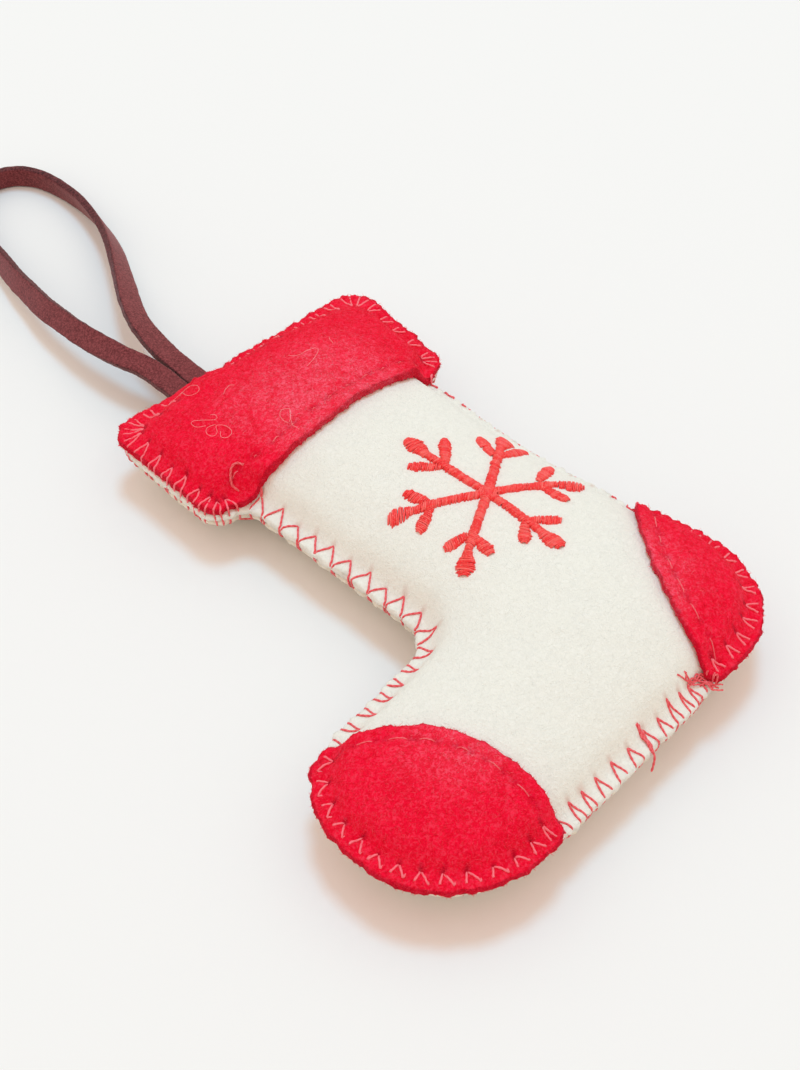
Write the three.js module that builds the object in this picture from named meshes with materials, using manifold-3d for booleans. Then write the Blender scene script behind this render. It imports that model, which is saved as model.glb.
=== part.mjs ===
// A stuffed felt stocking ornament with a suede hanging loop, lying on its back.
// Millimetres. +X points to the heel side, +Y up the leg to the cuff, +Z out of the front.
// The origin is under the middle of the stocking, on the surface that it lies on.

import * as THREE from "three";
import { mergeVertices } from "three/addons/utils/BufferGeometryUtils.js";
import Module from "manifold-3d";

const wasm = await Module();
wasm.setup();

// Overall sizes of the stocking
const stockingHeight = 106;
const footLength = 80.9;
const footHeight = 38.2;
const legWidth = 40.3;

// Felt, and the clearance that neighbouring layers keep
const feltThickness = 1.1;
const clearance = 0.25;
const overrun = 5;

// How far the stuffing blows the two panels out from the seam, and where the seam lies
const seamHeight = 7.6;
const frontCrown = 10;
const restCut = 0.5;
const hemWidth = 2.4;
const backSetback = 0.7;
const stuffingSetback = 2;

// Cuff band
const cuffWidth = 54.1;
const cuffDepth = 28.9;
const cuffOverhang = 6.7;
const cuffReach = 0.1;
const cuffTaper = 1.1;
const cuffTilt = 1.9;
const cuffCorner = 5;
const cuffLowerCorner = 4.8;
const cuffSweep = 1.7;
const jointRadius = 2.2;

// Leg and ankle
const legLean = 1.5;
const crotchRadius = 6;
const ankleFlareTop = 61.4;
const heelFullest = 20.4;

// Sole, toe and heel curves
const soleRise = 3.2;
const toeReach = 18.6;
const toeRound = 19.2;
const instepRise = 1.5;
const heelReach = 17.5;

// Toe and heel patches: where their inner edges meet the foot, and how far they bow
const toePatchOnSole = 24.5;
const toePatchOnInstep = 8.3;
const toePatchDrop = 2.8;
const toePatchBow = 5.5;
const heelPatchOnSole = 22.3;
const heelPatchOnAnkle = 37.5;
const heelPatchBow = 5.9;

// Embroidered snowflake
const flakeRadius = 16.9;
const flakeHeight = 48.3;
const flakeOffset = 2.6;
const flakeThickness = 0.5;
const stemWidth = 1.6;
const stemLength = 12.5;
const tipLeafLength = 5.4;
const tipLeafWidth = 3.2;
const sideLeafLength = 5.8;
const sideLeafWidth = 2;
const sideLeafStart = 8.4;
const hubRadius = 1.5;

// Overcast thread round the whole edge
const threadDiameter = 0.4;
const stitchPitch = 3.65;
const stitchBite = 3.3;

// Suede lace
const laceWidth = 4;
const laceThickness = 1.4;
const laceSpacing = 4.2;
const laceExitOffset = 4.9;
const laceSewnLength = 9;
const hingeStandoff = 0.7;

// Grids that the soft forms are worked out on
const filmStep = 1.35;
const panelStep = 4.05;
const curvePoints = 10;

// Shares and counts
const bendShare = 0.6;
const roundShare = 0.55;
const flakeWrapShare = 0.93;
const filmPowerShare = 0.55;
const backFlatShare = 0.55;
const crossingShare = 0.36;
const liftShares = [0.15, 0.3, 0.45, 0.6, 0.75, 0.9];
const flakeArms = 6;
const leafAngle = 48;
const relaxation = 1.88;
const filmSweeps = 320;
const filmSmoothings = 2;
const threadSides = 5;
const laceSteps = 48;
const noseTurns = [35, 75];

// The lace's middle line, from the left exit round the loop to the right exit, in the stocking's
// frame, chosen by hand from the way the loop lies.
const lacePoints = [
  [2.8, 53.7, 7.6],
  [2.85, 57.7, 7.65],
  [2.5, 62.8, 7.75],
  [1.2, 67.9, 7.7],
  [0.5, 73, 7.4],
  [0.1, 78.3, 7],
  [0.2, 83.6, 6.5],
  [0.5, 89, 5.8],
  [1.4, 94.4, 5.1],
  [2.3, 99.7, 4.4],
  [3.7, 105.1, 3.7],
  [5.7, 110.6, 3.1],
  [9.2, 117.2, 2.6],
  [13.7, 122.4, 2.3],
  [18.4, 125.2, 2.15],
  [22.4, 125, 2.15],
  [24.9, 122.3, 2.15],
  [25.7, 117.7, 2.15],
  [25.6, 111.4, 2.4],
  [24.6, 105.7, 2.9],
  [23, 100.2, 3.5],
  [20.7, 94.8, 4.3],
  [17.8, 89.4, 5.1],
  [14.7, 83.9, 5.9],
  [11.7, 78.5, 6.6],
  [9.3, 73.1, 7.2],
  [8, 68, 7.5],
  [7.2, 62.8, 7.65],
  [7.05, 57.7, 7.65],
  [7, 53.7, 7.6],
];

// How far the lace has rolled from lying flat to standing on its edge, in degrees, at even
// shares of its length.
const laceRoll = [0, 12, 38, 52, 62, 74, 86, 90, 88, 74, 56, 36, 18, 6, 0];

// Places that the sizes give
const topY = stockingHeight / 2;
const soleY = -stockingHeight / 2;
const heelX = footLength / 2;
const toeX = -footLength / 2;
const instepY = soleY + footHeight;
const cuffRight = heelX + cuffReach;
const cuffLeft = cuffRight - cuffWidth;
const cuffBottom = topY - cuffDepth;
const legLeft = cuffLeft + cuffOverhang;
const legRight = legLeft + legWidth;
const backCrown = seamHeight + restCut - feltThickness - clearance / 2;
const patchBottom = feltThickness + clearance;
const patchTop = patchBottom + feltThickness;
const hingeY = topY + hingeStandoff;

const colours = {
  white: 0xece7da,
  cream: 0xe8dcc2,
  red: 0xd4122c,
  thread: 0xd92a3c,
  flake: 0xd9301f,
  fill: 0xf2f2ee,
  suede: 0x6e3238,
};

function feltMaterial(colour) {
  return new THREE.MeshStandardMaterial({ color: colour, roughness: 0.95, metalness: 0 });
}

function threadMaterial(colour) {
  return new THREE.MeshStandardMaterial({ color: colour, roughness: 0.55, metalness: 0 });
}

// The stocking's outline, with every side moved inwards by inset.
function stockingShape(inset) {
  const top = topY - inset;
  const sole = soleY + inset;
  const left = cuffLeft + inset;
  const right = cuffRight - inset;
  const rightTop = top - cuffTilt;
  const corner = Math.max(cuffCorner - inset, clearance);
  const under = cuffBottom + cuffSweep + inset;
  const lower = cuffLowerCorner - inset / 2;
  const ankleLeft = legLeft + legLean + inset;
  const instep = instepY - inset;
  const toeMiddle = (instepY + soleY) / 2;
  const toe = toeX + inset;
  const heel = heelX - inset;
  const crotch = crotchRadius + inset;
  const toeTop = toe + toeReach;
  const toeBottom = toe + toeRound;
  const heelTurn = heel - heelReach;
  const heelMiddle = soleY + heelFullest;

  const shape = new THREE.Shape();
  shape.moveTo(toeBottom, sole);
  shape.lineTo(heelTurn, sole + soleRise);
  shape.bezierCurveTo(
    heelTurn + bendShare * heelReach, sole + soleRise,
    heel, heelMiddle - bendShare * (heelFullest - soleRise),
    heel, heelMiddle,
  );
  bendTo(shape, heel, heelMiddle, legRight - inset, soleY + ankleFlareTop);
  shape.lineTo(legRight - inset, under - jointRadius);
  bendTo(shape, legRight - inset, under - jointRadius, right - cuffTaper, under + lower);
  shape.lineTo(right, rightTop - corner);
  roundTo(shape, right, rightTop, right - corner, rightTop);
  shape.lineTo(left + corner, top);
  roundTo(shape, left, top, left, top - corner);
  shape.lineTo(left, under + lower);
  roundTo(shape, left, under, legLeft + inset - jointRadius, under);
  roundTo(shape, legLeft + inset, under, legLeft + inset, under - jointRadius);
  shape.lineTo(ankleLeft, instep + crotch);
  roundTo(shape, ankleLeft, instep, ankleLeft - crotch, instep);
  shape.lineTo(toeTop, instep - instepRise);
  shape.bezierCurveTo(
    toeTop - bendShare * toeReach, instep - instepRise,
    toe, toeMiddle + bendShare * footHeight / 2,
    toe, toeMiddle,
  );
  shape.bezierCurveTo(
    toe, toeMiddle - bendShare * footHeight / 2,
    toeBottom - bendShare * toeRound, sole,
    toeBottom, sole,
  );
  return shape;
}

// A round corner from where the outline has got to, past a corner point, to another point.
function roundTo(shape, cornerX, cornerY, x, y) {
  const start = shape.currentPoint;
  const leaveX = THREE.MathUtils.lerp(start.x, cornerX, roundShare);
  const leaveY = THREE.MathUtils.lerp(start.y, cornerY, roundShare);
  const arriveX = THREE.MathUtils.lerp(x, cornerX, roundShare);
  const arriveY = THREE.MathUtils.lerp(y, cornerY, roundShare);
  shape.bezierCurveTo(leaveX, leaveY, arriveX, arriveY, x, y);
}

// A smooth S from one upright line to another.
function bendTo(shape, x0, y0, x1, y1) {
  const middle = (y0 + y1) / 2;
  shape.bezierCurveTo(x0, middle, x1, middle, x1, y1);
}

function boxShape(left, bottom, right, top) {
  const shape = new THREE.Shape();
  shape.moveTo(left, bottom);
  shape.lineTo(right, bottom);
  shape.lineTo(right, top);
  shape.lineTo(left, top);
  shape.closePath();
  return shape;
}

// The part of the foot in front of the toe patch's inner edge.
function toeShape() {
  const onSole = new THREE.Vector2(toeX + toePatchOnSole, soleY - clearance);
  const onInstep = new THREE.Vector2(toeX + toePatchOnInstep, instepY - toePatchDrop);
  const shape = new THREE.Shape();
  shape.moveTo(onSole.x, onSole.y);
  bowTo(shape, onSole, onInstep, toePatchBow);
  shape.lineTo(toeX - overrun, onInstep.y);
  shape.lineTo(toeX - overrun, onSole.y);
  shape.closePath();
  return shape;
}

// The part of the foot behind the heel patch's inner edge.
function heelShape() {
  const onSole = new THREE.Vector2(heelX - heelPatchOnSole, soleY + clearance);
  const onAnkle = new THREE.Vector2(heelX + clearance, soleY + heelPatchOnAnkle);
  const shape = new THREE.Shape();
  shape.moveTo(onAnkle.x, onAnkle.y);
  bowTo(shape, onAnkle, onSole, heelPatchBow);
  shape.lineTo(heelX + overrun, onSole.y);
  shape.lineTo(heelX + overrun, onAnkle.y);
  shape.closePath();
  return shape;
}

// A curve between two points whose middle stands off their straight line by bow.
function bowTo(shape, from, to, bow) {
  const along = to.clone().sub(from).normalize();
  const control = from.clone().add(to).multiplyScalar(1 / 2);
  control.x += 2 * bow * along.y;
  control.y -= 2 * bow * along.x;
  shape.quadraticCurveTo(control.x, control.y, to.x, to.y);
}

function isInside(points, x, y) {
  let inside = false;
  points.forEach((a, i) => {
    const b = points[(i + 1) % points.length];
    if (a.y > y !== b.y > y && x < a.x + ((b.x - a.x) * (y - a.y)) / (b.y - a.y)) inside = !inside;
  });
  return inside;
}

function distanceTo(points, x, y) {
  const place = new THREE.Vector3(x, y, 0);
  const nearest = new THREE.Vector3();
  const side = new THREE.Line3();
  let least = Infinity;
  points.forEach((a, i) => {
    const b = points[(i + 1) % points.length];
    side.start.set(a.x, a.y, 0);
    side.end.set(b.x, b.y, 0);
    side.closestPointToPoint(place, true, nearest);
    least = Math.min(least, nearest.distanceTo(place));
  });
  return least;
}

// A film blown up over the outline inside its sewn hem, as a share of its crown at each point
// of a fine grid: the stuffed panels follow it.
function blowFilm(outline) {
  const x0 = Math.min(toeX, cuffLeft) - 2 * panelStep;
  const y0 = soleY - 2 * panelStep;
  const columns = Math.ceil((cuffRight + 2 * panelStep - x0) / filmStep);
  const rows = Math.ceil((topY + 2 * panelStep - y0) / filmStep);
  const film = new Float64Array((columns + 1) * (rows + 1));
  const free = [];
  for (let j = 1; j < rows; j++) {
    for (let i = 1; i < columns; i++) {
      const x = x0 + i * filmStep;
      const y = y0 + j * filmStep;
      if (isInside(outline, x, y) && distanceTo(outline, x, y) > hemWidth) {
        free.push(j * (columns + 1) + i);
      }
    }
  }
  const around = (k) => film[k - 1] + film[k + 1] + film[k - columns - 1] + film[k + columns + 1];
  for (let sweep = 0; sweep < filmSweeps; sweep++) {
    for (const k of free) film[k] += relaxation * ((around(k) + 1) / 4 - film[k]);
  }
  const highest = free.reduce((most, k) => Math.max(most, film[k]), 0);
  for (const k of free) film[k] = (film[k] / highest) ** filmPowerShare;
  for (let pass = 0; pass < filmSmoothings; pass++) {
    const smoothed = free.map((k) => (film[k] + around(k) / 4) / 2);
    free.forEach((k, n) => (film[k] = smoothed[n]));
  }
  return { x0, y0, columns, rows, film };
}

const outlinePoints = stockingShape(0).getPoints(curvePoints);
const { x0, y0, columns, rows, film } = blowFilm(outlinePoints);

// The film's share and slope at a point of the fine grid. A power under one flattens its crown.
function filmAt(i, j, power) {
  const within = (n, most) => Math.min(Math.max(n, 0), most);
  const at = (a, b) => film[within(b, rows) * (columns + 1) + within(a, columns)] ** power;
  const slopeX = (at(i + 1, j) - at(i - 1, j)) / (2 * filmStep);
  const slopeY = (at(i, j + 1) - at(i, j - 1)) / (2 * filmStep);
  return { share: at(i, j), slope: Math.hypot(slopeX, slopeY) };
}

// Height of the surface that lies depth outside a panel's inner face, at a point of the fine grid.
// The back is flatter than the front, because the stocking's weight lies on it.
function frontHeight(depth) {
  return (i, j) => {
    const { share, slope } = filmAt(i, j, 1);
    const lean = Math.hypot(1, frontCrown * slope);
    return seamHeight + clearance / 2 + frontCrown * share + depth * lean;
  };
}

function backHeight(depth) {
  return (i, j) => {
    const { share, slope } = filmAt(i, j, backFlatShare);
    const lean = Math.hypot(1, backCrown * slope);
    return seamHeight - clearance / 2 - backCrown * share - depth * lean;
  };
}

const every = Math.round(panelStep / filmStep);
const across = Math.floor(columns / every);
const up = Math.floor(rows / every);

// A height at any point, on the same triangles as the sheets.
function heightOn(height, x, y) {
  const u = (x - x0) / panelStep;
  const v = (y - y0) / panelStep;
  const i = Math.min(Math.max(Math.floor(u), 0), across - 1);
  const j = Math.min(Math.max(Math.floor(v), 0), up - 1);
  const at = (a, b) => height(a * every, b * every);
  const du = u - i;
  const dv = v - j;
  if (du + dv < 1) return at(i, j) + du * (at(i + 1, j) - at(i, j)) + dv * (at(i, j + 1) - at(i, j));
  const far = at(i + 1, j + 1);
  return far + (1 - du) * (at(i, j + 1) - far) + (1 - dv) * (at(i + 1, j) - far);
}

// A closed sheet over the whole grid, between two heights.
function sheet(lower, upper) {
  const positions = [];
  const faces = [];
  const row = across + 1;
  const layer = row * (up + 1);
  for (const height of [lower, upper]) {
    for (let j = 0; j <= up; j++) {
      for (let i = 0; i <= across; i++) {
        positions.push(x0 + i * panelStep, y0 + j * panelStep, height(i * every, j * every));
      }
    }
  }
  const wall = (a, b) => faces.push(a, b, b + layer, a, b + layer, a + layer);
  for (let j = 0; j < up; j++) {
    for (let i = 0; i < across; i++) {
      const a = j * row + i;
      faces.push(a, a + row, a + 1, a + 1, a + row, a + row + 1);
      faces.push(layer + a, layer + a + 1, layer + a + row);
      faces.push(layer + a + 1, layer + a + row + 1, layer + a + row);
    }
  }
  for (let i = 0; i < across; i++) {
    wall(i, i + 1);
    wall(up * row + i + 1, up * row + i);
  }
  for (let j = 0; j < up; j++) {
    wall(j * row + across, (j + 1) * row + across);
    wall((j + 1) * row, j * row);
  }
  return geometryOf(positions, faces);
}

function geometryOf(positions, faces) {
  const geometry = new THREE.BufferGeometry();
  geometry.setAttribute("position", new THREE.Float32BufferAttribute(positions, 3));
  geometry.setIndex(faces);
  geometry.computeVertexNormals();
  return geometry;
}

function solidOf(geometry) {
  const bare = geometry.clone();
  bare.deleteAttribute("normal");
  bare.deleteAttribute("uv");
  const merged = mergeVertices(bare);
  const vertProperties = merged.attributes.position.array;
  const triVerts = new Uint32Array(merged.index.array);
  return new wasm.Manifold(new wasm.Mesh({ numProp: 3, vertProperties, triVerts }));
}

function namedMesh(name, geometry, material) {
  const mesh = new THREE.Mesh(geometry, material);
  mesh.name = name;
  return mesh;
}

function meshOf(name, solid, material) {
  const made = solid.getMesh();
  return namedMesh(name, geometryOf(made.vertProperties, Array.from(made.triVerts)), material);
}

// A shape of the plan view as an upright prism that passes right through the stocking.
function prism(shape) {
  const depth = seamHeight + frontCrown + 2 * (patchTop + overrun);
  const geometry = new THREE.ExtrudeGeometry(shape, {
    depth, bevelEnabled: false, curveSegments: curvePoints,
  });
  return solidOf(geometry.translate(0, 0, -overrun));
}

function block(width, depth, height, x, y, z) {
  return solidOf(new THREE.BoxGeometry(width, depth, height).translate(x, y, z));
}

const laceXs = [laceExitOffset - laceSpacing / 2, laceExitOffset + laceSpacing / 2];

// The room that the lace's sewn ends take up in the seam.
function lacePockets() {
  const length = laceSewnLength + hingeStandoff + overrun;
  const pockets = laceXs.map((x) => block(
    laceWidth + 2 * clearance, length, laceThickness + 2 * clearance,
    x, hingeY - laceSewnLength - clearance + length / 2, seamHeight,
  ));
  return pockets[0].add(pockets[1]);
}

const stocking = prism(stockingShape(0));
const backing = prism(stockingShape(backSetback));
const pockets = lacePockets();

function frontPanel() {
  const felt = solidOf(sheet(frontHeight(0), frontHeight(feltThickness)));
  return meshOf("front_panel", felt.intersect(stocking).subtract(pockets), feltMaterial(colours.white));
}

// The back panel is pressed flat where it lies.
function backPanel() {
  const felt = solidOf(sheet(backHeight(feltThickness), backHeight(0)));
  const below = block(
    2 * footLength, 2 * stockingHeight, seamHeight, 0, 0, -seamHeight / 2,
  );
  const cut = felt.intersect(backing).subtract(pockets).subtract(below);
  return meshOf("back_panel", cut, feltMaterial(colours.cream));
}

function stuffing() {
  const fill = solidOf(sheet(backHeight(-clearance), frontHeight(-clearance)));
  const room = prism(stockingShape(hemWidth + stuffingSetback));
  return meshOf("stuffing", fill.intersect(room).subtract(pockets), feltMaterial(colours.fill));
}

// A patch of red felt laid over the front panel.
function patch(name, shape) {
  const felt = solidOf(sheet(frontHeight(patchBottom), frontHeight(patchTop)));
  return meshOf(name, felt.intersect(stocking).intersect(prism(shape)), feltMaterial(colours.red));
}

function leafShape(start, length, width) {
  const shape = new THREE.Shape();
  shape.absellipse(start + length / 2, 0, length / 2, width / 2, 0, 2 * Math.PI);
  return shape;
}

// One arm of the snowflake along +X: its stem, the leaf at its tip and two side leaves.
function flakeArm() {
  const flat = (shape) => new THREE.ExtrudeGeometry(shape, {
    depth: 2 * (seamHeight + frontCrown), bevelEnabled: false, curveSegments: curvePoints / 2,
  });
  let arm = solidOf(flat(boxShape(0, -stemWidth / 2, stemLength, stemWidth / 2)));
  const tip = leafShape(flakeRadius - tipLeafLength, tipLeafLength, tipLeafWidth);
  arm = arm.add(solidOf(flat(tip)));
  for (const side of [-1, 1]) {
    const leaf = flat(leafShape(0, sideLeafLength, sideLeafWidth));
    leaf.rotateZ(side * THREE.MathUtils.degToRad(leafAngle));
    arm = arm.add(solidOf(leaf.translate(sideLeafStart, 0, 0)));
  }
  return arm;
}

// The snowflake lies on the front panel, in the middle of the leg, one arm pointing up it. Seen
// from above it is a little narrower than it is long, because it wraps over the crown.
function snowflake() {
  const x = (legLeft + legRight) / 2 + flakeOffset;
  const y = soleY + flakeHeight;
  const hub = new THREE.CylinderGeometry(hubRadius, hubRadius, seamHeight + frontCrown, curvePoints);
  hub.rotateX(Math.PI / 2).translate(0, 0, seamHeight + frontCrown);
  let flake = solidOf(hub);
  const arm = flakeArm();
  for (let k = 0; k < flakeArms; k++) {
    flake = flake.add(arm.rotate([0, 0, 90 + (360 * k) / flakeArms]));
  }
  const raised = solidOf(sheet(frontHeight(patchBottom), frontHeight(patchBottom + flakeThickness)));
  const placed = flake.scale([flakeWrapShare, 1, 1]).translate([x, y, 0]);
  return meshOf("snowflake", raised.intersect(placed), threadMaterial(colours.flake));
}

const patchShapes = {
  cuff: boxShape(cuffLeft - overrun, cuffBottom, cuffRight + overrun, topY + overrun),
  toe_patch: toeShape(),
  heel_patch: heelShape(),
};
const patchOutlines = Object.values(patchShapes).map((shape) => shape.getPoints(curvePoints));

// A closed tube of even rings along a line of points, with the rings carried along without twist.
function tube(points, radius, sides) {
  const positions = [];
  const faces = [];
  const tangents = points.map((p, i) => {
    const before = points[Math.max(i - 1, 0)];
    const after = points[Math.min(i + 1, points.length - 1)];
    const arrive = p.clone().sub(before).normalize();
    const leave = after.clone().sub(p).normalize();
    return arrive.add(leave).normalize();
  });
  const normal = new THREE.Vector3(0, 0, 1).cross(tangents[0]).normalize();
  points.forEach((p, i) => {
    normal.addScaledVector(tangents[i], -normal.dot(tangents[i])).normalize();
    const side = tangents[i].clone().cross(normal);
    for (let k = 0; k < sides; k++) {
      const turn = (2 * Math.PI * k) / sides;
      const rim = p.clone();
      rim.addScaledVector(normal, radius * Math.cos(turn));
      rim.addScaledVector(side, radius * Math.sin(turn));
      positions.push(rim.x, rim.y, rim.z);
    }
  });
  joinRings(faces, points.length, sides);
  return geometryOf(positions, faces);
}

// Walls between rings of points, and a fan over each end.
function joinRings(faces, rings, sides) {
  for (let r = 0; r + 1 < rings; r++) {
    for (let k = 0; k < sides; k++) {
      const a = r * sides + k;
      const b = r * sides + ((k + 1) % sides);
      faces.push(a, b, b + sides, a, b + sides, a + sides);
    }
  }
  const last = (rings - 1) * sides;
  for (let k = 1; k + 1 < sides; k++) {
    faces.push(0, k + 1, k);
    faces.push(last, last + k, last + k + 1);
  }
}

function isOverPatch(x, y, reach) {
  return patchOutlines.some((points) => isInside(points, x, y) || distanceTo(points, x, y) < reach);
}

// The overcast thread: from a bite on the front it goes over the edge, takes its bite on the
// back and comes over the edge again, once a pitch, all the way round. It passes straight over
// the front where the lace comes out of the seam.
function overcastPath() {
  const path = stockingShape(0);
  const stitches = Math.round(path.getLength() / stitchPitch);
  const fine = path.getSpacedPoints(stitches * 2 * curvePoints);
  const standOff = threadDiameter / 2 + clearance;
  const backFace = backHeight(feltThickness);
  const count = fine.length - 1;
  const place = (share, inward, z) => {
    const k = Math.round(share * 2 * curvePoints);
    const at = fine[(k + count) % count];
    const next = fine[(k + 1 + count) % count];
    const before = fine[(k - 1 + count) % count];
    const along = next.clone().sub(before).normalize();
    return new THREE.Vector3(at.x - inward * along.y, at.y + inward * along.x, z);
  };
  const frontTop = (x, y, reach) => {
    const depth = isOverPatch(x, y, reach) ? patchTop : feltThickness;
    return heightOn(frontHeight(depth), x, y) + standOff;
  };
  const onFront = (share, inward) => {
    const at = place(share, inward, 0);
    at.z = frontTop(at.x, at.y, stitchPitch * crossingShare + threadDiameter);
    return at;
  };
  const backUnder = (x, y) => Math.max(heightOn(backFace, x, y), 0) - standOff;
  const onBack = (share, inward) => {
    const at = place(share, inward, 0);
    at.z = backUnder(at.x, at.y);
    return at;
  };
  // Moves a stretch off the felt wherever its straight line would run into it.
  const clearFelt = (from, to) => {
    const isFront = from.z > seamHeight;
    for (const share of liftShares) {
      const at = from.clone().lerp(to, share);
      if (!isInside(outlinePoints, at.x, at.y)) continue;
      const rise = isFront
        ? Math.max(frontTop(at.x, at.y, standOff) - at.z, 0)
        : Math.min(backUnder(at.x, at.y) - at.z, 0);
      from.z += rise;
      to.z += rise;
    }
  };
  const laceHalf = laceSpacing / 2 + laceWidth / 2 + standOff + clearance;
  const isAtLace = (at) => Math.abs(at.x - laceExitOffset) < laceHalf && at.y > topY - hemWidth;
  const points = [];
  for (let i = 0; i < stitches; i++) {
    points.push(onFront(i, stitchBite));
    const crossings = [i + crossingShare, i + 1 - crossingShare];
    if (crossings.some((share) => isAtLace(place(share, 0, 0)))) continue;
    points.push(onFront(crossings[0], -standOff));
    points.push(onBack(crossings[0], -standOff));
    points.push(onBack(i + 1 / 2, stitchBite));
    points.push(onBack(crossings[1], -standOff));
    points.push(onFront(crossings[1], -standOff));
  }
  for (let k = 0; k + 1 < points.length; k++) {
    if (points[k].z > seamHeight === points[k + 1].z > seamHeight) clearFelt(points[k], points[k + 1]);
  }
  return points;
}

// The least room between stretches of a thread that aren't neighbours along it.
function leastGap(points, apart, diameter) {
  let least = Infinity;
  points.forEach((p, i) => {
    for (let k = i + apart; k < points.length; k++) least = Math.min(least, p.distanceTo(points[k]));
  });
  return least - diameter;
}

function overcastThread() {
  const points = overcastPath();
  const gap = leastGap(points, 4, threadDiameter);
  console.log(`overcast thread: ${points.length} points, least gap to itself ${gap.toFixed(2)} mm`);
  const geometry = tube(points, threadDiameter / 2, threadSides);
  return namedMesh("overcast_thread", geometry, threadMaterial(colours.thread));
}

// The lace's section: a flat strip with its corners taken off, thinned by a share at the noses.
function laceSection(share) {
  const half = laceWidth / 2;
  const thick = (share * laceThickness) / 2;
  const bevel = laceThickness / 4;
  return [
    [half - bevel, thick], [bevel - half, thick], [-half, thick - share * bevel],
    [-half, share * bevel - thick], [bevel - half, -thick], [half - bevel, -thick],
    [half, share * bevel - thick], [half, thick - share * bevel],
  ];
}

// The free loop: it starts and ends in a nose rounded about the seam's hinge line.
function hangingLoop() {
  const route = new THREE.CatmullRomCurve3(lacePoints.map((p) => new THREE.Vector3(...p)));
  console.log(`hanging loop: free length ${route.getLength().toFixed(1)} mm`);
  const rings = [];
  for (let k = 0; k <= laceSteps; k++) rings.push({ share: k / laceSteps, back: 0, thin: 1 });
  for (const turn of noseTurns) {
    const angle = THREE.MathUtils.degToRad(turn);
    const back = (Math.sin(angle) * laceThickness) / 2;
    rings.unshift({ share: 0, back, thin: Math.cos(angle) });
    rings.push({ share: 1, back: -back, thin: Math.cos(angle) });
  }
  const positions = [];
  for (const { share, back, thin } of rings) {
    const at = route.getPointAt(share);
    const tangent = route.getTangentAt(share);
    const outward = new THREE.Vector3(-tangent.y, tangent.x, 0).normalize();
    const roll = THREE.MathUtils.degToRad(rollAt(share));
    const above = tangent.clone().cross(outward).normalize().negate();
    if (above.z < 0) above.negate();
    const face = above.multiplyScalar(Math.cos(roll)).addScaledVector(outward, Math.sin(roll));
    const wide = face.clone().cross(tangent).normalize();
    for (const [w, t] of laceSection(thin)) {
      const rim = at.clone().addScaledVector(tangent, -back);
      rim.addScaledVector(wide, w);
      rim.addScaledVector(face, t);
      positions.push(rim.x, rim.y, rim.z);
    }
  }
  const faces = [];
  joinRings(faces, rings.length, laceSection(1).length);
  return namedMesh("hanging_loop", geometryOf(positions, faces), feltMaterial(colours.suede));
}

function rollAt(share) {
  const place = share * (laceRoll.length - 1);
  const k = Math.min(Math.floor(place), laceRoll.length - 2);
  return THREE.MathUtils.lerp(laceRoll[k], laceRoll[k + 1], place - k);
}

// A sewn-in end of the lace, from the hinge line into the seam.
function laceEnd(name, x) {
  const length = laceSewnLength - laceThickness / 2 - clearance;
  const shape = new THREE.Shape(laceSection(1).map(([w, t]) => new THREE.Vector2(w, t)));
  const geometry = new THREE.ExtrudeGeometry(shape, { depth: length, bevelEnabled: false });
  geometry.rotateX(-Math.PI / 2);
  geometry.translate(x, hingeY - laceSewnLength, seamHeight);
  return namedMesh(name, geometry, feltMaterial(colours.suede));
}

const ornament = new THREE.Group();
ornament.add(backPanel(), stuffing(), frontPanel());
for (const [name, shape] of Object.entries(patchShapes)) ornament.add(patch(name, shape));
ornament.add(snowflake(), overcastThread());
ornament.add(laceEnd("lace_end_left", laceXs[0]), laceEnd("lace_end_right", laceXs[1]));
ornament.add(hangingLoop());

export default ornament;
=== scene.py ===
# The looks of a stuffed felt stocking ornament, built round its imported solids.
# Lengths here are in millimetres unless a name ends in _M; meshes are made in metres.

import functools
import math

import bpy
import numpy as np
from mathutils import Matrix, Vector, geometry, kdtree


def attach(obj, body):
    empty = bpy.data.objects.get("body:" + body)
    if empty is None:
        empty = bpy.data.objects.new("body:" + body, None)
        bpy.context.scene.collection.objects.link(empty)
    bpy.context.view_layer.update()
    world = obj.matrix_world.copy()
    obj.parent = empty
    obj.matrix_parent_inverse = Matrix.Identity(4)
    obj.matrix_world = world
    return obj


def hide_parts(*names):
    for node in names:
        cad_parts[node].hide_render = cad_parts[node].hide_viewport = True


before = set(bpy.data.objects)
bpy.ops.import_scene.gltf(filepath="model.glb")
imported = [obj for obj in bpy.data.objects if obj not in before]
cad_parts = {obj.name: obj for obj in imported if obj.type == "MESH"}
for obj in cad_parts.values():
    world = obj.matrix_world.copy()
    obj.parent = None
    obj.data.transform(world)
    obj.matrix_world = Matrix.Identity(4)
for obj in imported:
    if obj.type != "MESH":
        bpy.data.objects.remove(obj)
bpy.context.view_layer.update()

MM = 0.001

# Camera, from the photograph: it looks down at 48 degrees, over the toe and the leg's left side.
CAMERA_AT = (-147.67, -155.105, 255.0)
CAMERA_WAY = (0.46482, 0.48133, -0.74314)
FOCAL_PIXELS = 2100
PHOTO_HEIGHT = 1070
SENSOR = 36.0

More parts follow.
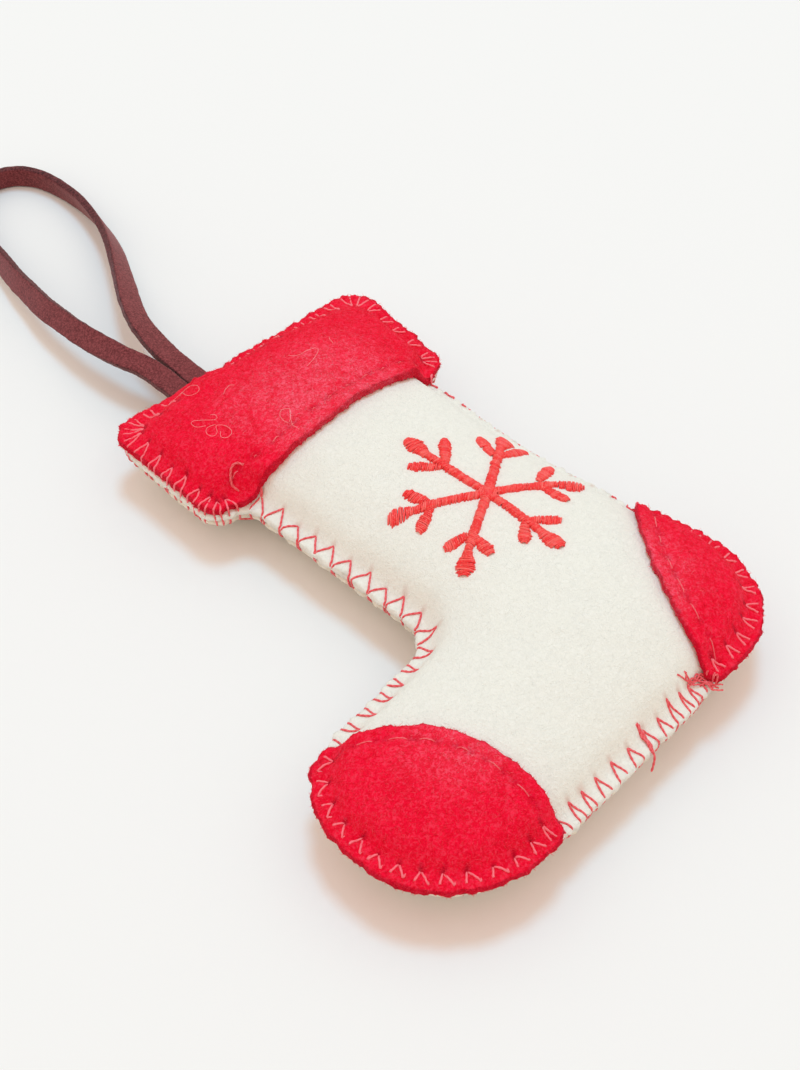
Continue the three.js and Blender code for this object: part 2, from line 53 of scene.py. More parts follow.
# The stocking's outline, as in the part's source but for a slightly tighter ankle and a squarer
# flap at the cuff's right
STOCKING_HEIGHT = 106.0
FOOT_LENGTH = 80.9
FOOT_HEIGHT = 38.2
LEG_WIDTH = 40.3
CUFF_WIDTH = 54.1
CUFF_DEPTH = 28.9
CUFF_OVERHANG = 6.7
CUFF_REACH = 0.1
CUFF_TILT = 1.9
CUFF_CORNER = 5.0
CUFF_LOWER_CORNER = 4.8
CUFF_SWEEP = 1.7
JOINT_RADIUS = 2.2
LEG_LEAN = 1.5
CROTCH_RADIUS = 6.0
ANKLE_FLARE_TOP = 61.4
HEEL_FULLEST = 20.4
SOLE_RISE = 3.2
TOE_REACH = 18.6
TOE_ROUND = 19.2
INSTEP_RISE = 1.5
HEEL_REACH = 17.5
BEND_SHARE = 0.6
ANKLE_PULL = 0.22
CUFF_FLAP = 2.4
ROUND_SHARE = 0.55

TOP_Y = STOCKING_HEIGHT / 2
SOLE_Y = -STOCKING_HEIGHT / 2
HEEL_X = FOOT_LENGTH / 2
TOE_X = -FOOT_LENGTH / 2
INSTEP_Y = SOLE_Y + FOOT_HEIGHT
CUFF_RIGHT = HEEL_X + CUFF_REACH
CUFF_LEFT = CUFF_RIGHT - CUFF_WIDTH
CUFF_BOTTOM = TOP_Y - CUFF_DEPTH
LEG_LEFT = CUFF_LEFT + CUFF_OVERHANG
LEG_RIGHT = LEG_LEFT + LEG_WIDTH

# Layers
FELT = 1.1
CLEARANCE = 0.25
SEAM_Z = 7.6
FRONT_CROWN = 10.0
BACK_CROWN = 6.875
BACK_FLAT_SHARE = 0.55
HEM = 3.4
SMOOTHING = 7
FAR_LIFT = 1.8
FAR_LIFT_REACH = 8.0
FAR_LIFT_Y = (-17.0, 27.0)
PATCH_UNDER = FELT + 0.03
PATCH_OVER = 2 * FELT + CLEARANCE
SEAM_GAP = 0.03
FILM_STEP = 0.75
FILM_POWER = 0.52

# Heights of the stuffed crown between which the felt's painted sheen rises from none to full
PAINTED_SHEEN_START = 12.5
PAINTED_SHEEN_FULL = 17.2

# Toe and heel patches: where their inner edges meet the foot, and how far they bow
TOE_PATCH_ON_SOLE = 24.5
TOE_PATCH_ON_INSTEP = 8.3
TOE_PATCH_DROP = 2.8
TOE_PATCH_BOW = 5.5
HEEL_PATCH_ON_SOLE = 22.3
HEEL_PATCH_ON_ANKLE = 37.5
HEEL_PATCH_BOW = 5.9

# Floor: half its side, and how far it lies under the part
FLOOR_HALF = 3000
FLOOR_DROP = 0.02

# The room's light comes mostly from above: this much of it is even all round
SKY_LOW = 0.8

# Thread
THREAD = 0.34
SATIN_PITCH = 0.30
SATIN_RADIUS = 0.175
BURIED = 0.6
LACE_X = 4.9
NECK_REACH = 0.3
WRAP_IN = 0.5
WRAP_RISE = 0.5
WRAP_DROP = 0.35
UNDER_NEAR = 1.1
UNDER_FAR = 2.0
BACK_BITE = 3.1
DIVE_ON_RED = 0.7
DIVE_ON_WHITE = 0.25
FAR_SINK = 0.4

# Where the overcast thread's needle holes lie: distances along the outline from the sole's start,
# set to the stitches that show, and evenly spaced where none shows
STITCHES = [
    2.7, 5.9, 9.0, 11.6, 14.7, 18.5, 22.0, 26.0, 29.3, 32.1, 34.7, 36.8, 39.6, 42.4, 45.7, 49.4,
    53.3, 57.0, 61.0, 64.8, 68.6, 72.3, 76.1, 79.9, 83.7, 87.5, 91.3, 95.0, 98.8, 102.6, 106.4,
    110.2, 114.0, 117.8, 121.6, 125.4, 129.2, 133.3, 136.8, 141.0, 145.2, 148.6, 152.1, 155.9, 159.8,
    163.9, 167.3, 170.4, 173.8, 177.5, 180.9, 184.2, 187.4, 199.2, 202.8, 206.2, 209.4, 212.6, 216.0,
    219.5, 222.8, 226.0, 229.4, 232.2, 235.0, 237.8, 241.2, 245.1, 248.9, 252.7, 256.5, 260.4, 264.3,
    268.1, 271.6, 275.2, 278.2, 281.0, 284.0, 287.3, 290.8, 294.3, 297.9, 302.0, 306.3, 310.8, 315.0,
    319.2, 323.2, 327.0, 330.7, 334.4, 338.0, 341.9, 346.2, 350.0, 353.6,
]

# The loop's middle line, as in the part's source but for a rounder tip, and how far the lace has
# rolled onto its edge
LACE_POINTS = [
    (2.8, 53.7, 7.6), (2.85, 57.7, 7.65), (2.5, 62.8, 7.75), (1.2, 67.9, 7.7), (0.5, 73, 7.4),
    (0.1, 78.3, 7), (0.2, 83.6, 6.5), (0.5, 89, 5.8), (1.4, 94.4, 5.1), (2.3, 99.7, 4.4),
    (3.6, 105.2, 3.7), (5.1, 111.5, 3.0), (7.1, 117.6, 2.6), (10.0, 122.8, 2.3), (14.0, 126.6, 2.15),
    (18.2, 127.8, 2.15), (21.8, 126.3, 2.15), (24.3, 122.9, 2.15), (25.5, 118.0, 2.15),
    (25.6, 111.6, 2.4), (24.6, 105.7, 2.9), (23, 100.2, 3.5), (20.7, 94.8, 4.3), (17.8, 89.4, 5.1),
    (14.7, 83.9, 5.9),
    (11.7, 78.5, 6.6), (9.3, 73.1, 7.2), (8, 68, 7.5), (7.2, 62.8, 7.65), (7.05, 57.7, 7.65),
    (7, 53.7, 7.6),
]
LACE_ROLL = [0, 12, 38, 52, 62, 74, 86, 90, 88, 74, 56, 36, 18, 6, 0]
LACE_WIDTH = 4.0
LACE_THICKNESS = 1.4
# The loop's ends are rounded about the line on which it swings, a quarter turn in steps
NOSE_TURNS = [0.4, 0.8, 1.15, 1.4]

# The snowflake: its hub, then for each arm the fork, the tip and the tips of the two side leaves
HUB = (16.4, -4.8)
ARMS = [
    ((15.6, 3.7), (15.5, 12.4), (20.4, 8.7), (11.7, 8.1)),
    ((23.4, 0.4), (30.0, 4.0), (25.4, 5.9), (30.0, -0.4)),
    ((23.8, -8.1), (29.6, -13.1), (29.4, -6.2), (24.5, -14.2)),
    ((16.1, -13.0), (15.9, -20.8), (20.3, -16.8), (12.4, -16.3)),
    ((8.7, -8.8), (2.5, -13.4), (7.7, -14.1), (4.2, -7.4)),
    ((8.8, -0.5), (2.8, 3.5), (7.7, 4.8), (3.9, -2.1)),
]
# Half-widths along each kind of stroke
LEAF_WIDTHS = [0.4, 0.65, 0.85, 0.95, 1.0, 0.9, 0.4]
TIP_WIDTHS = [0.5, 0.65, 1.0, 1.4, 1.55, 1.3, 0.5]
STEM_WIDTHS = [0.78, 0.7, 0.7, 0.72, 0.8, 0.6]
HUB_WIDTHS = [0.6, 1.15, 1.2, 0.6]
HUB_REACH = 1.5

# The bunch of loose thread by the heel
BUNCH = [(15.6, -46.6), (16.4, -47.4), (17.4, -47.6), (18.3, -48.6), (19.0, -49.6), (18.6, -51.0)]


# Camera, and helpers for meshes and lines


def make_camera():
    data = bpy.data.cameras.new("camera")
    data.sensor_fit = "VERTICAL"
    data.sensor_height = SENSOR
    data.sensor_width = SENSOR
    data.lens = FOCAL_PIXELS * SENSOR / PHOTO_HEIGHT
    data.clip_start = 0.01
    data.clip_end = 20
    camera = bpy.data.objects.new("camera", data)
    camera.location = Vector(CAMERA_AT) * MM
    camera.rotation_euler = Vector(CAMERA_WAY).to_track_quat("-Z", "Y").to_euler()
    bpy.context.scene.collection.objects.link(camera)
    bpy.context.scene.camera = camera


def new_object(name, verts, faces, material, smooth=True):
    """A mesh object from points in millimetres and lists of faces."""
    mesh = bpy.data.meshes.new(name)
    groups = [np.asarray(f, np.int32) for f in faces if len(f)]
    sizes = np.concatenate([np.full(len(g), g.shape[1]) for g in groups])
    corners = np.concatenate([g.ravel() for g in groups])
    mesh.vertices.add(len(verts))
    mesh.vertices.foreach_set("co", (np.asarray(verts, float) * MM).ravel())
    mesh.loops.add(len(corners))
    mesh.loops.foreach_set("vertex_index", corners)
    mesh.polygons.add(len(sizes))
    mesh.polygons.foreach_set("loop_start", np.concatenate([[0], np.cumsum(sizes)[:-1]]))
    mesh.polygons.foreach_set("use_smooth", np.full(len(sizes), smooth))
    mesh.update(calc_edges=True)
    mesh.validate()
    mesh.materials.append(material)
    made = bpy.data.objects.new(name, mesh)
    bpy.context.scene.collection.objects.link(made)
    return made


def add_attribute(piece, name, values):
    layer = piece.data.attributes.new(name, "FLOAT", "POINT")
    layer.data.foreach_set("value", np.asarray(values, np.float32))


def curve_through(points, count):
    """Evenly spaced points on a smooth line through the points given."""
    p = np.asarray(points, float)
    p = np.vstack([2 * p[0] - p[1], p, 2 * p[-1] - p[-2]])
    fine = []
    for a, b, c, d in zip(p, p[1:], p[2:], p[3:]):
        t = np.linspace(0, 1, 24, endpoint=False)[:, None]
        fine.append(b + t / 2 * (c - a + t * (2 * a - 5 * b + 4 * c - d + t * (3 * (b - c) + d - a))))
    fine = np.vstack(fine + [p[-2:-1]])
    return evenly(fine, count)


def evenly(line, count):
    along = np.concatenate([[0], np.cumsum(np.linalg.norm(np.diff(line, axis=0), axis=1))])
    at = np.linspace(0, along[-1], count)
    return np.stack([np.interp(at, along, line[:, k]) for k in range(line.shape[1])], axis=1)


def unit(v):
    return v / np.maximum(np.linalg.norm(v, axis=-1, keepdims=True), 1e-9)


def tangents_of(line):
    return unit(np.gradient(line, axis=0))


def left_of(way):
    """The direction to the left of each direction in the plan."""
    return np.stack([-way[:, 1], way[:, 0]], axis=1)


def length_of(line):
    return float(np.linalg.norm(np.diff(line, axis=0), axis=1).sum())


def strip_quads(rings, sides):
    """The faces of a tube from its count of rings and of points in each."""
    a = np.arange(rings - 1)[:, None] * sides + np.arange(sides)[None, :]
    b = np.arange(rings - 1)[:, None] * sides + (np.arange(sides)[None, :] + 1) % sides
    return np.stack([a, b, b + sides, a + sides], axis=-1).reshape(-1, 4)


# Random numbers and smooth noise, the same in every run


def dice(seed):
    return np.random.default_rng(seed)


def cubic_sample(grid, u, v):
    """A grid's value at fractional rows and columns, with smooth cubic steps."""
    rows, columns = grid.shape
    i = np.clip(np.floor(v).astype(int), 1, rows - 3)
    j = np.clip(np.floor(u).astype(int), 1, columns - 3)

    def weights(t):
        return (
            t * (t * (2 - t) - 1) / 2,
            (t * t * (3 * t - 5) + 2) / 2,
            t * (t * (4 - 3 * t) + 1) / 2,
            t * t * (t - 1) / 2,
        )

    wv, wu = weights(np.clip(v - i, 0, 1)), weights(np.clip(u - j, 0, 1))
    total = 0
    for a in range(4):
        for b in range(4):
            total = total + wv[a] * wu[b] * grid[i + a - 1, j + b - 1]
    return total


@functools.lru_cache(None)
def noise_grid(size, seed):
    return dice(seed).normal(size=(int(260 / size) + 8, int(260 / size) + 8))


def noise(x, y, size, seed):
    """Smooth noise of about unit height whose lumps are size wide."""
    grid = noise_grid(size, seed)
    return cubic_sample(grid, (x + 110) / size + 2, (y + 110) / size + 2)


# Outline


def outline():
    """The stocking's edge, counter-clockwise, as points along its lines and curves."""
    points = [np.array([TOE_X + TOE_ROUND, SOLE_Y])]

    def line(x, y):
        t = np.linspace(0, 1, 41)[1:, None]
        points.extend(points[-1] * (1 - t) + np.array([x, y]) * t)

    def cubic(b, c, d):
        a = points[-1]
        b, c, d = map(np.array, (b, c, d))
        t = np.linspace(0, 1, 61)[1:, None]
        points.extend((1 - t) ** 3 * a + 3 * (1 - t) ** 2 * t * b + 3 * (1 - t) * t * t * c + t**3 * d)

    def corner(cx, cy, x, y):
        a, c, d = points[-1], np.array([cx, cy]), np.array([x, y])
        cubic(a + (c - a) * ROUND_SHARE, d + (c - d) * ROUND_SHARE, d)

    def bend(x, y, first=0.5):
        a = points[-1]
        cubic((a[0], a[1] + first * (y - a[1])), (x, (a[1] + y) / 2), (x, y))

    under = CUFF_BOTTOM + CUFF_SWEEP
    right_top = TOP_Y - CUFF_TILT
    ankle = LEG_LEFT + LEG_LEAN
    turn = HEEL_X - HEEL_REACH
    fullest = SOLE_Y + HEEL_FULLEST
    toe_top = TOE_X + TOE_REACH
    middle = (INSTEP_Y + SOLE_Y) / 2
    line(turn, SOLE_Y + SOLE_RISE)
    cubic(
        (turn + BEND_SHARE * HEEL_REACH, SOLE_Y + SOLE_RISE),
        (HEEL_X, fullest - BEND_SHARE * (HEEL_FULLEST - SOLE_RISE)),
        (HEEL_X, fullest),
    )
    bend(LEG_RIGHT, SOLE_Y + ANKLE_FLARE_TOP, ANKLE_PULL)
    line(LEG_RIGHT, under - JOINT_RADIUS)
    bend(CUFF_RIGHT - CUFF_FLAP, under + CUFF_FLAP)
    line(CUFF_RIGHT, right_top - CUFF_CORNER)
    corner(CUFF_RIGHT, right_top, CUFF_RIGHT - CUFF_CORNER, right_top)
    line(CUFF_LEFT + CUFF_CORNER, TOP_Y)
    corner(CUFF_LEFT, TOP_Y, CUFF_LEFT, TOP_Y - CUFF_CORNER)
    line(CUFF_LEFT, under + CUFF_LOWER_CORNER)
    corner(CUFF_LEFT, under, LEG_LEFT - JOINT_RADIUS, under)
    corner(LEG_LEFT, under, LEG_LEFT, under - JOINT_RADIUS)
    line(ankle, INSTEP_Y + CROTCH_RADIUS)
    corner(ankle, INSTEP_Y, ankle - CROTCH_RADIUS, INSTEP_Y)
    line(toe_top, INSTEP_Y - INSTEP_RISE)
    cubic(
        (toe_top - BEND_SHARE * TOE_REACH, INSTEP_Y - INSTEP_RISE),
        (TOE_X, middle + BEND_SHARE * FOOT_HEIGHT / 2),
        (TOE_X, middle),
    )
    cubic(
        (TOE_X, middle - BEND_SHARE * FOOT_HEIGHT / 2),
        (TOE_X + (1 - BEND_SHARE) * TOE_ROUND, SOLE_Y),
        (TOE_X + TOE_ROUND, SOLE_Y),
    )
    return np.array(points)


RAW = outline()
EDGE_LENGTH = length_of(RAW)
EDGE_STEP = 0.25
EDGE_COUNT = int(EDGE_LENGTH / EDGE_STEP)
EDGE = evenly(RAW, EDGE_COUNT + 1)[:-1]
EDGE_ALONG = np.arange(EDGE_COUNT) * EDGE_LENGTH / EDGE_COUNT
edge_tangents = unit(np.roll(EDGE, -1, axis=0) - np.roll(EDGE, 1, axis=0))
EDGE_IN = left_of(edge_tangents)


def at_edge(along, inset):
    """The point at a distance along the outline and inside it."""
    k = np.mod(np.asarray(along, float), EDGE_LENGTH) / EDGE_LENGTH * EDGE_COUNT
    wrap = np.arange(EDGE_COUNT + 1)
    ring = np.vstack([EDGE, EDGE[:1]])
    ways = np.vstack([EDGE_IN, EDGE_IN[:1]])
    x = np.interp(k, wrap, ring[:, 0]) + inset * np.interp(k, wrap, ways[:, 0])
    y = np.interp(k, wrap, ring[:, 1]) + inset * np.interp(k, wrap, ways[:, 1])
    return np.stack([x, y], axis=-1)


def is_inside(polygon, x, y):
    px, py = np.ravel(x)[:, None], np.ravel(y)[:, None]
    ax, ay = polygon[:, 0], polygon[:, 1]
    bx, by = np.roll(ax, -1), np.roll(ay, -1)
    lean = (bx - ax) / np.where(ay == by, 1, by - ay)
    inside = [np.zeros(0, bool)]
    for k in range(0, len(px), 3000):
        u, v = px[k : k + 3000], py[k : k + 3000]
        crossed = ((ay > v) != (by > v)) & (u < ax + lean * (v - ay))
        inside.append(crossed.sum(axis=1) % 2 == 1)
    return np.concatenate(inside).reshape(np.shape(x))


class Track:
    """A line of points that is quick to find the nearest place on."""

    def __init__(self, points):
        self.tree = kdtree.KDTree(len(points))
        for k, p in enumerate(points):
            self.tree.insert((p[0], p[1], 0), k)
        self.tree.balance()

    def nearest(self, x, y):
        """For each point, the nearest place's index and how far off it is."""
        found = [self.tree.find((a, b, 0)) for a, b in zip(np.ravel(x), np.ravel(y))]
        return (
            np.array([f[1] for f in found]).reshape(np.shape(x)),
            np.array([f[2] for f in found]).reshape(np.shape(x)),
        )


EDGE_TRACK = Track(EDGE)


# The blown film that both panels follow


def blow_film():
    x0, y0 = CUFF_LEFT - 34, SOLE_Y - 6
    x = np.arange(x0, CUFF_RIGHT + 6, FILM_STEP)
    y = np.arange(y0, TOP_Y + 6, FILM_STEP)
    gx, gy = np.meshgrid(x, y)
    free = is_inside(EDGE[::4], gx, gy)
    _, away = EDGE_TRACK.nearest(gx[free], gy[free])
    free[free] = away > HEM
    film = np.zeros(gx.shape)
    checks = (np.add.outer(np.arange(len(y)), np.arange(len(x))) % 2).astype(bool)
    for sweep in range(700):
        for colour in (checks, ~checks):
            around = (
                np.roll(film, 1, 0) + np.roll(film, -1, 0) + np.roll(film, 1, 1) + np.roll(film, -1, 1)
            )
            step = 1.93 * ((around + 1) / 4 - film)
            film += np.where(free & colour, step, 0)
    film = (film / film.max()) ** FILM_POWER
    for sweep in range(SMOOTHING):
        around = np.roll(film, 1, 0) + np.roll(film, -1, 0) + np.roll(film, 1, 1) + np.roll(film, -1, 1)
        film = (film + around / 4) / 2
    return x0, y0, film / film.max()


FILM_X, FILM_Y, FILM = blow_film()


def film_at(x, y, power):
    def value(a, b):
        u, v = (a - FILM_X) / FILM_STEP, (b - FILM_Y) / FILM_STEP
        return np.clip(cubic_sample(FILM, u, v), 0, 1.02) ** power

    step = 0.7
    share = value(x, y)
    slope_x = (value(x + step, y) - value(x - step, y)) / (2 * step)
    slope_y = (value(x, y + step) - value(x, y - step)) / (2 * step)
    return share, np.hypot(slope_x, slope_y)


def far_lift(x, y):
    """The seam stands a little higher along the leg's far side."""
    low, high = FAR_LIFT_Y
    window = 1 / (1 + np.exp((low - y) / 2.5)) / (1 + np.exp((y - high) / 2.5))
    return FAR_LIFT * window * np.exp(-(((x - LEG_RIGHT) / FAR_LIFT_REACH) ** 2))


def front_height(x, y, depth):
    share, slope = film_at(x, y, 1)
    lean = np.minimum(np.hypot(1, FRONT_CROWN * slope), 2)
    return SEAM_Z + CLEARANCE / 2 + FRONT_CROWN * share + depth * lean + far_lift(x, y)


def back_height(x, y, depth):
    share, slope = film_at(x, y, BACK_FLAT_SHARE)
    lean = np.minimum(np.hypot(1, BACK_CROWN * slope), 2)
    return np.maximum(SEAM_Z - CLEARANCE / 2 - BACK_CROWN * share - depth * lean + far_lift(x, y), 0)


# Where the overcast thread crosses the edge, and how the felt gives under it

HOLES = np.array(STITCHES)
ON_LEG = (HOLES > 240) & (HOLES < 279)
ON_TOE = (HOLES > 304) | (HOLES < 2)
# No stitch shows along this stretch of the leg's far side, so there they sink into the felt
OUT_OF_SIGHT = (90, 119)
DEPTH_AT = [0, 4, 8, 82, 88, 92, 124, 130, 134, 152, 156, 213, 217, 276, 280, 300, 306, 354]
DEPTH_BY = [2.6, 2.6, 3.1, 3.1, 1.0, 0.45, 0.45, 1.0, 3.1, 3.1, 4.3, 4.3, 2.7, 2.7, 3.1, 3.1, 2.6, 2.6]


def hole_depth(along):
    return np.interp(np.mod(along, EDGE_LENGTH), DEPTH_AT, DEPTH_BY)


HOLE_DEPTHS = hole_depth(HOLES)
HOLE_DEPTHS = HOLE_DEPTHS * (1 + 0.08 * dice(3).normal(size=len(HOLES)).clip(-1.5, 1.5))
HOLE_POINTS = at_edge(HOLES, HOLE_DEPTHS)
HOLE_TRACK = Track(HOLE_POINTS)
gaps = np.mod(np.roll(HOLES, -1) - HOLES, EDGE_LENGTH)
LEAVE_SHARE = np.where(ON_LEG, 0.42, np.where(ON_TOE, 0.48, 0.24))
ARRIVE_SHARE = np.where(ON_LEG, 0.53, np.where(ON_TOE, 0.84, 0.78))
LEAVE = HOLES + gaps * (LEAVE_SHARE + 0.05 * dice(4).uniform(-1, 1, len(HOLES)))
ARRIVE = HOLES + gaps * (ARRIVE_SHARE + 0.05 * dice(5).uniform(-1, 1, len(HOLES)))
AT_LACE = gaps > 8


# How far the white felt stops short of the outline: most where red felt overhangs it
SET_BACK_AT = [0, 3, 7, 36, 44, 84, 92, 156, 210, 240, 300, 309, 344, 354.3]
SET_BACK_BY = [1.1, 0.7, 0.05, 0.05, 1.1, 1.1, 0.05, 0.3, 0.3, 0.05, 0.05, 1.3, 1.3, 1.1]
BACK_SHORTER = 0.45


def set_back(along):
    return np.interp(np.mod(along, EDGE_LENGTH), SET_BACK_AT, SET_BACK_BY)


def nearness(along, places, reach):
    """How near each distance along the edge is to one of the places, from 0 to 1."""
    ring = np.sort(np.mod(places, EDGE_LENGTH))
    ring = np.concatenate([ring[-1:] - EDGE_LENGTH, ring, ring[:1] + EDGE_LENGTH])
    k = np.clip(np.searchsorted(ring, along), 1, len(ring) - 1)
    away = np.minimum(np.abs(along - ring[k - 1]), np.abs(along - ring[k]))
    return np.exp(-((away / reach) ** 2))


CROSSINGS = np.concatenate([LEAVE[~AT_LACE], ARRIVE[~AT_LACE]])


class Hem:
    """A patch's inner edge with its line of running stitches."""

    def __init__(self, points, inset, pitch, dash, seed):
        self.line = evenly(np.asarray(points, float), 400)
        self.sewn = self.line + inset * left_of(tangents_of(self.line))
        self.line_track = Track(self.line)
        self.sewn_track = Track(self.sewn)
        steps = np.linalg.norm(np.diff(self.sewn, axis=0), axis=1)
        self.along = np.concatenate([[0], np.cumsum(steps)])
        count = int(self.along[-1] / pitch)
        shift = dice(seed).uniform(-0.12, 0.12, (count, 2)) * pitch
        starts = (np.arange(count) + 0.3) * self.along[-1] / count
        self.dashes = np.stack([starts + shift[:, 0], starts + dash + shift[:, 1]], axis=1)

    def point(self, along):
        return np.stack([np.interp(along, self.along, self.sewn[:, k]) for k in (0, 1)], axis=-1)

    def relief(self, x, y, depth):
        """How far the felt sinks along the stitches, the painted shade near each stitch's end, and
        how far it is from the edge."""
        _, off = self.line_track.nearest(x, y)
        k, from_line = self.sewn_track.nearest(x, y)
        ends = self.dashes.ravel()
        along = self.along[k]
        near = np.exp(-(((along[..., None] - ends) / 0.7) ** 2)).max(axis=-1)
        trough = np.exp(-((from_line / 0.75) ** 2))
        sink = depth * trough * (0.35 + 0.65 * near)
        # The second value is the painted shade by each stitch's end
        return sink, 0.5 * near * np.exp(-((from_line / 0.45) ** 2)), off


def bow(start, end, rise):
    """A curve from start to end whose middle stands off their straight line by rise."""
    a, b = np.array(start, float), np.array(end, float)
    way = unit(b - a)
    control = (a + b) / 2 + 2 * rise * np.array([way[1], -way[0]])
    t = np.linspace(0, 1, 60)[:, None]
    return (1 - t) ** 2 * a + 2 * (1 - t) * t * control + t * t * b


TOE_LINE = bow(
    (TOE_X + TOE_PATCH_ON_SOLE, SOLE_Y - CLEARANCE),
    (TOE_X + TOE_PATCH_ON_INSTEP, INSTEP_Y - TOE_PATCH_DROP),
    TOE_PATCH_BOW,
)
HEEL_LINE = bow(
    (HEEL_X + CLEARANCE, SOLE_Y + HEEL_PATCH_ON_ANKLE),
    (HEEL_X - HEEL_PATCH_ON_SOLE, SOLE_Y + CLEARANCE),
    HEEL_PATCH_BOW,
)
cuff_x = np.linspace(LEG_LEFT - 1, LEG_RIGHT + 1, 40)
cuff_rise = 0.12 * np.sin(cuff_x * 0.45) + 1.5 * np.exp(-(((cuff_x - LEG_LEFT) / 5) ** 2))
CUFF_LINE = np.stack([cuff_x, CUFF_BOTTOM + cuff_rise], axis=1)

HEMS = {
    "cuff": Hem(CUFF_LINE, 3.5, 3.8, 1.1, 11),
    "toe_patch": Hem(TOE_LINE, 2.4, 4.6, 2.9, 12),
    "heel_patch": Hem(HEEL_LINE, 2.8, 4.6, 2.9, 13),
}


# The cuff leaves the lace room to swing up, and stops short of the cream felt along its left side
SHORT_AT = [185.5, 187.5, 198.5, 200.5, 210, 216, 238, 242]
SHORT_BY = [0, 0.75, 0.75, 0, 0, 0.75, 0.75, 0]


def patch_edge(line, overhang, rounding):
    """A patch's whole edge: the outline beyond its inner line, and that line, with round corners."""
    first, _ = EDGE_TRACK.nearest(line[0, 0], line[0, 1])
    last, _ = EDGE_TRACK.nearest(line[-1, 0], line[-1, 1])
    first, last = int(first), int(last)
    run = np.arange(last, first + (EDGE_COUNT if first < last else 0) + 1) % EDGE_COUNT
    over = overhang * np.minimum(1, np.minimum(np.arange(len(run)), np.arange(len(run))[::-1]) / 16)
    over = over - np.interp(EDGE_ALONG[run], SHORT_AT, SHORT_BY)
    outer = EDGE[run] - over[:, None] * EDGE_IN[run]
    kept = line[is_inside(EDGE, line[:, 0], line[:, 1])]
    ring = np.vstack([outer[1:-1], kept, outer[1:2]])
    ring = evenly(ring, int(length_of(ring) / EDGE_STEP) + 1)[:-1]
    reach = int(3 * rounding / EDGE_STEP)
    shares = np.exp(-0.5 * (np.arange(-reach, reach + 1) * EDGE_STEP / rounding) ** 2)
    shares /= shares.sum()
    return sum(share * np.roll(ring, k - reach, axis=0) for k, share in enumerate(shares))


PATCHES = {
    "cuff": patch_edge(CUFF_LINE, 0.35, 0.7),
    "toe_patch": patch_edge(TOE_LINE, 0.35, 1.1),
    "heel_patch": patch_edge(HEEL_LINE, 0.25, 2.1),
}


def edge_relief(x, y, bulge, sink):
    """How the felt swells and sinks round the overcast stitches, the painted shade of the needle
    holes, and the distance inside the outline."""
    k, away = EDGE_TRACK.nearest(x, y)
    along = EDGE_ALONG[k]
    within = (x - EDGE[k, 0]) * EDGE_IN[k, 0] + (y - EDGE[k, 1]) * EDGE_IN[k, 1] > 0
    inside = np.where(within, away, -away)
    at_hole = nearness(along, HOLES, 0.85)
    crossing = nearness(along, CROSSINGS, 0.5)
    lip = bulge * np.exp(-(((inside - 1.5) / 1.1) ** 2)) * (1 - 1.1 * crossing)
    groove = sink * np.exp(-(((inside - hole_depth(along)) / 0.9) ** 2)) * (0.3 + 0.7 * at_hole)
    pull = 0.25 * crossing * np.exp(-((inside / 0.8) ** 2))
    _, from_hole = HOLE_TRACK.nearest(x, y)
    # Painted shade in each needle hole
    hole = np.exp(-((from_hole / 0.3) ** 2))
    return lip - groove - pull, hole, inside


def lace_lift(x, y):
    """The felt is lifted where the lace goes into the seam."""
    near = np.exp(-(((x - LACE_X) / 4.6) ** 4))
    return 0.75 * near * np.clip((y - TOP_Y + 13) / 9, 0, 1) ** 2


def lumps(x, y, height, seed):
    return height * (noise(x, y, 5.0, seed) * 0.6 + noise(x, y, 2.2, seed + 1) * 0.3
                     + noise(x, y, 1.1, seed + 2) * 0.22)


def panel_top(x, y):
    relief, hole, inside = edge_relief(x, y, 0.28, 0.34)
    # The second value is the painted shade of the needle holes
    return front_height(x, y, FELT) + relief + lumps(x, y, 0.1, 21) + lace_lift(x, y), hole, inside


def patch_top(name):
    def top(x, y):
        relief, hole, inside = edge_relief(x, y, 0.35, 0.5)
        sink, stitch, off = HEMS[name].relief(x, y, 0.55)
        thin = EDGE_THINNING[name] * np.exp(-((off / 0.9) ** 2))
        z = front_height(x, y, PATCH_OVER) + relief + lumps(x, y, 0.17, 31 + len(name))
        # The second value is painted shade at needle holes and stitch ends
        return z - sink - thin + lace_lift(x, y), np.maximum(hole, stitch), inside
    return top


EDGE_THINNING = {"cuff": -0.35, "toe_patch": 0.2, "heel_patch": -0.1}
TOPS = {name: patch_top(name) for name in PATCHES}


def surface(x, y):
    """The height of whatever felt lies on top at each point."""
    z, _, _ = panel_top(x, y)
    for name, edge in PATCHES.items():
        on = is_inside(edge, x, y)
        if on.any():
            z = np.where(on, TOPS[name](x, y)[0], z)
    return z


# Node materials


